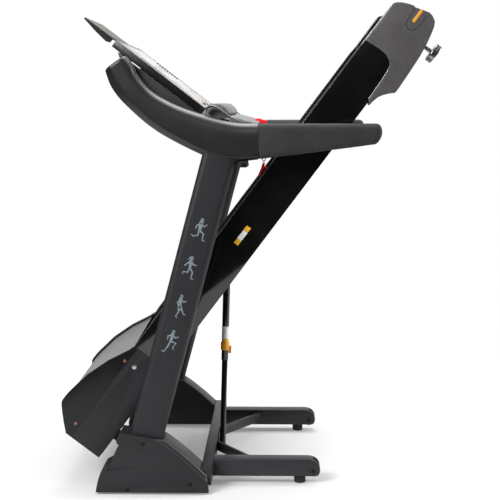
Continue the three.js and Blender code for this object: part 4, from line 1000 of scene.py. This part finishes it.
# ---- running deck ------------------------------------------------------------------------------
# A phenolic-faced board under an endless black belt with a fine diamond emboss, run round two
# crowned steel rollers.
board_edge = coat("board_edge", (0.12, 0.075, 0.04), 0.6, grain=260, depth=0.4, mottle=0.25)
softened("deck_board", 0.0012, board_edge, body="deck", slot="board_wood")
belt_black = coat("belt_black", (0.011, 0.011, 0.0115), 0.62, grain=700, depth=0.3, mottle=0.12)
emboss = belt_black.node_tree
weave_a = emboss.nodes.new("ShaderNodeTexWave")
weave_b = emboss.nodes.new("ShaderNodeTexWave")
turned_coords = emboss.nodes.new("ShaderNodeMapping")
turned_coords.inputs["Rotation"].default_value = (math.radians(45), 0, 0)
turned_back = emboss.nodes.new("ShaderNodeMapping")
turned_back.inputs["Rotation"].default_value = (math.radians(-45), 0, 0)
coords = next(node for node in emboss.nodes if node.type == "TEX_COORD")
shader = emboss.nodes["Principled BSDF"]
bump = next(node for node in emboss.nodes if node.type == "BUMP")
second_bump = emboss.nodes.new("ShaderNodeBump")
second_bump.inputs["Strength"].default_value = 0.5
second_bump.inputs["Distance"].default_value = 0.0004
product = emboss.nodes.new("ShaderNodeMath")
product.operation = "MAXIMUM"
for wave, mapping in ((weave_a, turned_coords), (weave_b, turned_back)):
    wave.bands_direction = "Y"
    wave.inputs["Scale"].default_value = 90
    emboss.links.new(coords.outputs["Object"], mapping.inputs["Vector"])
    emboss.links.new(mapping.outputs["Vector"], wave.inputs["Vector"])
emboss.links.new(weave_a.outputs["Fac"], product.inputs[0])
emboss.links.new(weave_b.outputs["Fac"], product.inputs[1])
emboss.links.new(product.outputs[0], second_bump.inputs["Height"])
emboss.links.new(bump.outputs["Normal"], second_bump.inputs["Normal"])
emboss.links.new(second_bump.outputs["Normal"], shader.inputs["Normal"])
softened("running_belt", 0.0004, belt_black, body="deck", slot="belt_rubber", segments=1)
softened("front_roller", 0.001, steel_turned, body="front_roller", slot="steel")
softened("rear_roller", 0.001, steel_turned, body="rear_roller", slot="steel")

# ---- foot rails --------------------------------------------------------------------------------
# Gloss black extrusions over the side tubes, the treads ribbed lengthwise against slipping. A thin
# bronze pinstripe runs along the outer corner, and a maker's blank sticker sits on the left side.
rail_gloss = coat(
    "rail_gloss", (0.0045, 0.0042, 0.0045), 0.08, grain=45, depth=0.02, mottle=0.35, Coat_Weight=0.3
)
bronze_line = coat("bronze_line", (0.3, 0.2, 0.1), 0.35, grain=900, depth=0.05, metallic=0.7)
rib_rubber = coat("rib_rubber", (0.014, 0.014, 0.0145), 0.7, grain=900, depth=0.3)
DECK_TILT = (0, -DECK_SLOPE, 0)
HOOD_END, RAIL_END = 338, 1460
RAIL_MIDDLE = (HOOD_END + RAIL_END) / 2
RAIL_LENGTH = (RAIL_END - HOOD_END) / 1000
for side, sign in SIDES:
    softened(f"foot_rail_{side}", 0.0016, rail_gloss, body="deck", slot="gloss_black")
    inner_rib, outer_rib = (tuple(on_deck(RAIL_MIDDLE, sign * y, 0.2)) for y in (250, 292))
    bar_tree.grow(
        f"rail_ribs_{side}", "deck", "belt_rubber",
        start=inner_rib, end=outer_rib, count=8, size=(RAIL_LENGTH - 0.03, 0.0026, 0.0018),
        tilt=DECK_TILT, finish=rib_rubber,
    )
    inner_line, outer_line = (tuple(on_deck(RAIL_MIDDLE, sign * y, 0.1)) for y in (303, 303.01))
    bar_tree.grow(
        f"rail_pinstripe_{side}", "deck", "gloss_black",
        start=inner_line, end=outer_line, count=1, size=(RAIL_LENGTH - 0.006, 0.0024, 0.0006),
        tilt=DECK_TILT, finish=bronze_line,
    )

sticker_white = coat("sticker_white", (0.92, 0.9, 0.86), 0.35, grain=900, depth=0.02, mottle=0.03)
sticker_amber = coat("sticker_amber", (0.95, 0.5, 0.03), 0.35, grain=900, depth=0.02, mottle=0.05)
STICKER = ((761, 777, sticker_amber), (777.5, 808, sticker_white), (808.5, 825, sticker_amber))
for number, (low, high, finish) in enumerate(STICKER, 1):
    slant = [(low, -49), (high, -50), (high, -65), (low, -64)]
    rings = [[on_deck(u, -y, v) for u, v in slant] for y in (309.9, 310.25)]
    patch = lofted(f"blank_sticker_{number}", rings, finish, smooth_angle=0.3)
    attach(patch, "deck")

# ---- rear end caps -----------------------------------------------------------------------------
# Gunmetal-silver mouldings that wrap the rear corners. A U-shaped groove holds an amber reflector
# on each outer face.
cap_gunmetal = coat(
    "cap_gunmetal", (0.3, 0.286, 0.282), 0.25, grain=2200, depth=0.04, metallic=0.75, mottle=0.12
)
amber_lens = coat("amber_lens", (0.8, 0.36, 0.05), 0.15, grain=300, depth=0.3, Coat_Weight=0.5)
# Near-black for the U-shaped groove: painted shade inside the groove, drawn as a strip standing just proud
# of the cap.
groove_painted_shade = coat("groove_painted_shade", (0.012, 0.012, 0.012), 0.5)
CAP_MIDDLE, CAP_HALF, CROWN = (1560, -95), (105, 115), 7.0
CAP_FACE, CAP_EDGE = 312.7, 0.3122


def cap_crown(u, v):
    """How far the cap's outer face swells at a point of the deck, in millimetres."""
    across = (v - CAP_MIDDLE[1]) / CAP_HALF[1]
    along = (u - CAP_MIDDLE[0]) / CAP_HALF[0]
    return CROWN * max(0, 1 - across**2) * max(0, 1 - along**2)


def crowned(cap, sign):
    """Cuts the outer face into a fine net and swells it, so that it is a real crown."""
    net = bmesh.new()
    net.from_mesh(cap.data)
    for normal, steps in ((DECK_ALONG, range(1450, 1680, 9)), (DECK_NORMAL, range(-205, 12, 9))):
        for step in steps:
            level = DECK_CORNER + normal * (step / 1000)
            outer = [f for f in net.faces if all(sign * v.co.y > CAP_EDGE for v in f.verts)]
            edges = list({e for f in outer for e in f.edges})
            corners = list({v for f in outer for v in f.verts})
            shapes = outer + edges + corners
            bmesh.ops.bisect_plane(net, geom=shapes, plane_co=level, plane_no=normal, dist=0.00001)
    for vertex in net.verts:
        if sign * vertex.co.y > CAP_EDGE:
            place = vertex.co - DECK_CORNER
            swell = cap_crown(place.dot(DECK_ALONG) * 1000, place.dot(DECK_NORMAL) * 1000)
            vertex.co.y += sign * swell / 1000
    net.to_mesh(cap.data)
    net.free()
    cap.data.shade_smooth()
    cap.data.set_sharp_from_angle(angle=0.6)


GROOVE = [
    (1618, -58), (1604, -60), (1580, -62), (1567, -65), (1560, -72), (1558.5, -80), (1561, -89),
    (1570, -96), (1596, -100), (1619, -99),
]
GROOVE_SECTION = ((-1.3, 0), (-0.9, 0.42), (0.9, 0.42), (1.3, 0))
LENS_U, LENS_V, LENS_REACH = 1603, -78.5, 17
for side, sign in SIDES:
    cap = softened(
        f"rear_end_cap_{side}", 0.003, cap_gunmetal, body="deck", slot="silver_plastic", segments=4
    )
    crowned(cap, sign)
    # The groove is a thin strip standing proud of the crowned face, in the painted-shade dark.
    path = through(GROOVE, 40)
    rings = []
    for k, spot in enumerate(path):
        before, after = path[max(k - 1, 0)], path[min(k + 1, len(path) - 1)]
        across = Vector((-(after - before).y, (after - before).x)).normalized()
        swell = cap_crown(spot.x, spot.y)
        rings.append(
            [
                on_deck(spot.x + across.x * w, sign * (CAP_FACE + y + swell), spot.y + across.y * w)
                for w, y in GROOVE_SECTION
            ]
        )
    groove = lofted(f"cap_groove_{side}", rings, groove_painted_shade, smooth_angle=0.8)
    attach(groove, "deck")
    rings = []
    for half, y in ((5.0, 0), (4.8, 0.5), (4.0, 0.9), (2.6, 1.1)):
        outline = []
        for t in turns(24):
            u = LENS_U + math.copysign(LENS_REACH, math.cos(t)) + half * math.cos(t)
            v = LENS_V + half * math.sin(t)
            outline.append(on_deck(u, sign * (CAP_FACE + y + cap_crown(u, v)), v))
        rings.append(outline)
    lens = lofted(f"reflector_{side}", rings, amber_lens, smooth_angle=0.9)
    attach(lens, "deck")

# ---- levelling feet ----------------------------------------------------------------------------
# Bright-plated screw feet: a knurled disc on a threaded stud under each rear end cap.
foot_chrome = coat("foot_chrome", (0.34, 0.34, 0.35), 0.2, grain=400, depth=0.05, metallic=1.0, ease=0.001)
knurl_tree = Tree(
    "knurled_rim", centre="Vector", radius="Float", ridges="Int", ridge="Vector", tilt="Vector",
    finish="Material",
)
rim_line = knurl_tree.add("MeshCircle")
knurl_tree.group.links.new(knurl_tree.given("ridges"), rim_line.inputs["Vertices"])
knurl_tree.group.links.new(knurl_tree.given("radius"), rim_line.inputs["Radius"])
outward_way = knurl_tree.add("InputPosition")
ridge_turn = knurl_tree.add(
    "FunctionNodeAlignRotationToVector", {"axis": "X"}, Vector=outward_way.outputs[0]
)
ridge = knurl_tree.add("MeshCube", Size=knurl_tree.given("ridge"))
ridges = knurl_tree.add(
    "InstanceOnPoints", Points=rim_line.outputs[0], Instance=ridge.outputs["Mesh"],
    Rotation=ridge_turn.outputs[0],
)
stood = knurl_tree.add(
    "Transform", Geometry=ridges.outputs[0], Translation=knurl_tree.given("centre")
)
knurl_tree.group.links.new(knurl_tree.given("tilt"), stood.inputs["Rotation"])
knurl_tree.close(stood.outputs[0], knurl_tree.given("finish"))
LEVELLER_U, LEVELLER_Y = 1548, 293
for side, sign in SIDES:
    body = f"foot_{side}"
    softened(f"levelling_foot_{side}", 0.0018, foot_chrome, body=body, slot="foot_chrome")
    for number, level in enumerate((-177.5, -185.5), 1):
        knurl_tree.grow(
            f"foot_knurl_{number}_{side}", body, "foot_chrome",
            centre=tuple(on_deck(LEVELLER_U, sign * LEVELLER_Y, level)), radius=0.0279, ridges=44,
            ridge=(0.0016, 0.0022, 0.0058), tilt=DECK_TILT, finish=foot_chrome,
        )
    knurl_tree.grow(
        f"foot_thread_{side}", body, "foot_chrome",
        centre=tuple(on_deck(LEVELLER_U, sign * LEVELLER_Y, -165)), radius=0.0058, ridges=24,
        ridge=(0.001, 0.0016, 0.012), tilt=DECK_TILT, finish=foot_chrome,
    )

# ---- drive -------------------------------------------------------------------------------------
# Under the hood: an enamelled motor with its flywheel and pulley, a toothed belt to the front
# roller, and the finned aluminium case of the motor controller.
motor_enamel = coat("motor_enamel", (0.012, 0.012, 0.013), 0.3, grain=600, depth=0.15, ease=0.002)
controller_alloy = coat(
    "controller_alloy", (0.4, 0.4, 0.41), 0.4, grain=500, depth=0.2, metallic=0.9, ease=0.001
)
softened("drive_motor", 0.003, motor_enamel, body="deck", slot="motor_paint")
softened("motor_shaft", 0.001, steel_turned, body="motor_shaft", slot="steel")
softened("motor_controller", 0.002, controller_alloy, body="deck", slot="steel")
softened("drive_belt", 0.0005, belt_black, body="deck", slot="belt_rubber", segments=1)

# ---- motor hood --------------------------------------------------------------------------------
# A moulded hood: satin silver over the top, with a raised rim, and black sides held by two
# copper-coloured screws each.
hood_silver = coat(
    "hood_silver", (0.12, 0.116, 0.115), 0.36, grain=2200, depth=0.04, metallic=0.4, mottle=0.08
)
hood_black = coat(
    "hood_black", (0.0025, 0.0025, 0.0027), 0.32, grain=1500, depth=0.08, mottle=0.1,
    Specular_IOR_Level=0.35,
)
softened(
    "motor_hood", 0.004, hood_silver, hood_black, body="deck", slot="silver_plastic", segments=4,
    pick=lambda face: 1 if abs(face.normal.y) > 0.92 else 0,
)
for side, sign in SIDES:
    heads = [(tuple(on_deck(u, sign * 306.4, v)), (0, sign, 0)) for u, v in ((283, -3), (42, 1.5))]
    screws(f"hood_screws_{side}", "deck", heads, 0.0048, 0.0022, copper_zinc, "silver_plastic")

# ---- belly pan, switch and power inlet ---------------------------------------------------------
# A thin pan closes the motor bay from below. Its nose carries a red rocker switch beside the power
# inlet, and rows of slots let the motor breathe.
softened("belly_pan", 0.0015, cover_plastic, body="deck", slot="cover_plastic")
softened("power_switch", 0.0012, button_red, body="power_switch", slot="switch_red")
# The vents are the same near-black bars laid on the pan: painted shade for the openings.
for row in (-160, 0, 160):
    first_vent, last_vent = (tuple(on_deck(u, row, -118.4)) for u in (120, 250))
    bar_tree.grow(
        f"pan_vents_{row + 160}", "deck", "cover_plastic",
        start=first_vent, end=last_vent, count=10, size=(0.005, 0.09, 0.0008),
        tilt=DECK_TILT, finish=slot_painted_shade,
    )

# ---- lift strut --------------------------------------------------------------------------------
# A gas strut in gloss black: the lower tube stands on the base bracket, the sleeve slides over it,
# and an orange collar locks the two. A blank two-colour sticker wraps the sleeve.
strut_gloss = coat("strut_gloss", (0.006, 0.006, 0.0065), 0.16, grain=300, depth=0.03, Coat_Weight=0.3)
collar_orange = coat("collar_orange", (1.0, 0.43, 0.03), 0.38, grain=900, depth=0.1, mottle=0.06)
softened("strut_bracket", 0.0012, powder_charcoal, body="frame", slot="frame_paint")
softened("strut_tube", 0.0008, strut_gloss, body="strut_tube", slot="strut_black")
softened("strut_sleeve", 0.0008, strut_gloss, body="strut_sleeve", slot="strut_black")
softened("lock_collar", 0.0012, collar_orange, body="lock_collar", slot="collar_orange")
STRUT_FOOT = Vector((-0.0942, 0, 0.0235))
STRUT_ALONG = Vector((0.02834, 0, 0.9996)).normalized()
STRUT_ACROSS = Vector((STRUT_ALONG.z, 0, -STRUT_ALONG.x))
WRAPS = ((0.327, 0.352, sticker_amber), (0.3525, 0.392, sticker_white))
WRAP_TURNS = [math.radians(-125 + 130 * k / 14) for k in range(15)]
for number, (low, high, finish) in enumerate(WRAPS, 1):
    rings = []
    for radius, trim in ((0.0112, 0.0002), (0.01145, 0.0)):
        for along in (low + trim, high - trim):
            middle = STRUT_FOOT + STRUT_ALONG * along
            rings.append(
                [
                    middle + STRUT_ACROSS * radius * math.cos(t) + Vector((0, radius * math.sin(t), 0))
                    for t in WRAP_TURNS
                ]
            )
    inner_low, inner_high, outer_low, outer_high = rings
    loop = [list(corners) for corners in zip(inner_low, inner_high, outer_high, outer_low)]
    wrap = lofted(f"sleeve_sticker_{number}", loop, finish, smooth_angle=0.5)
    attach(wrap, "strut_sleeve")
pin_ends = [((-0.0942, end * 0.0192, 0.0235), (0, end, 0)) for end in (-1, 1)]
screws("strut_pin_heads", "frame", pin_ends, 0.0062, 0.003, zinc_plate, "steel")
shaft_ends = [((-0.37716, end * 0.2815, 0.11493), (0, end, 0)) for end in (-1, 1)]
screws("fold_shaft_bolts", "frame", shaft_ends, 0.0072, 0.003, black_oxide, "steel")
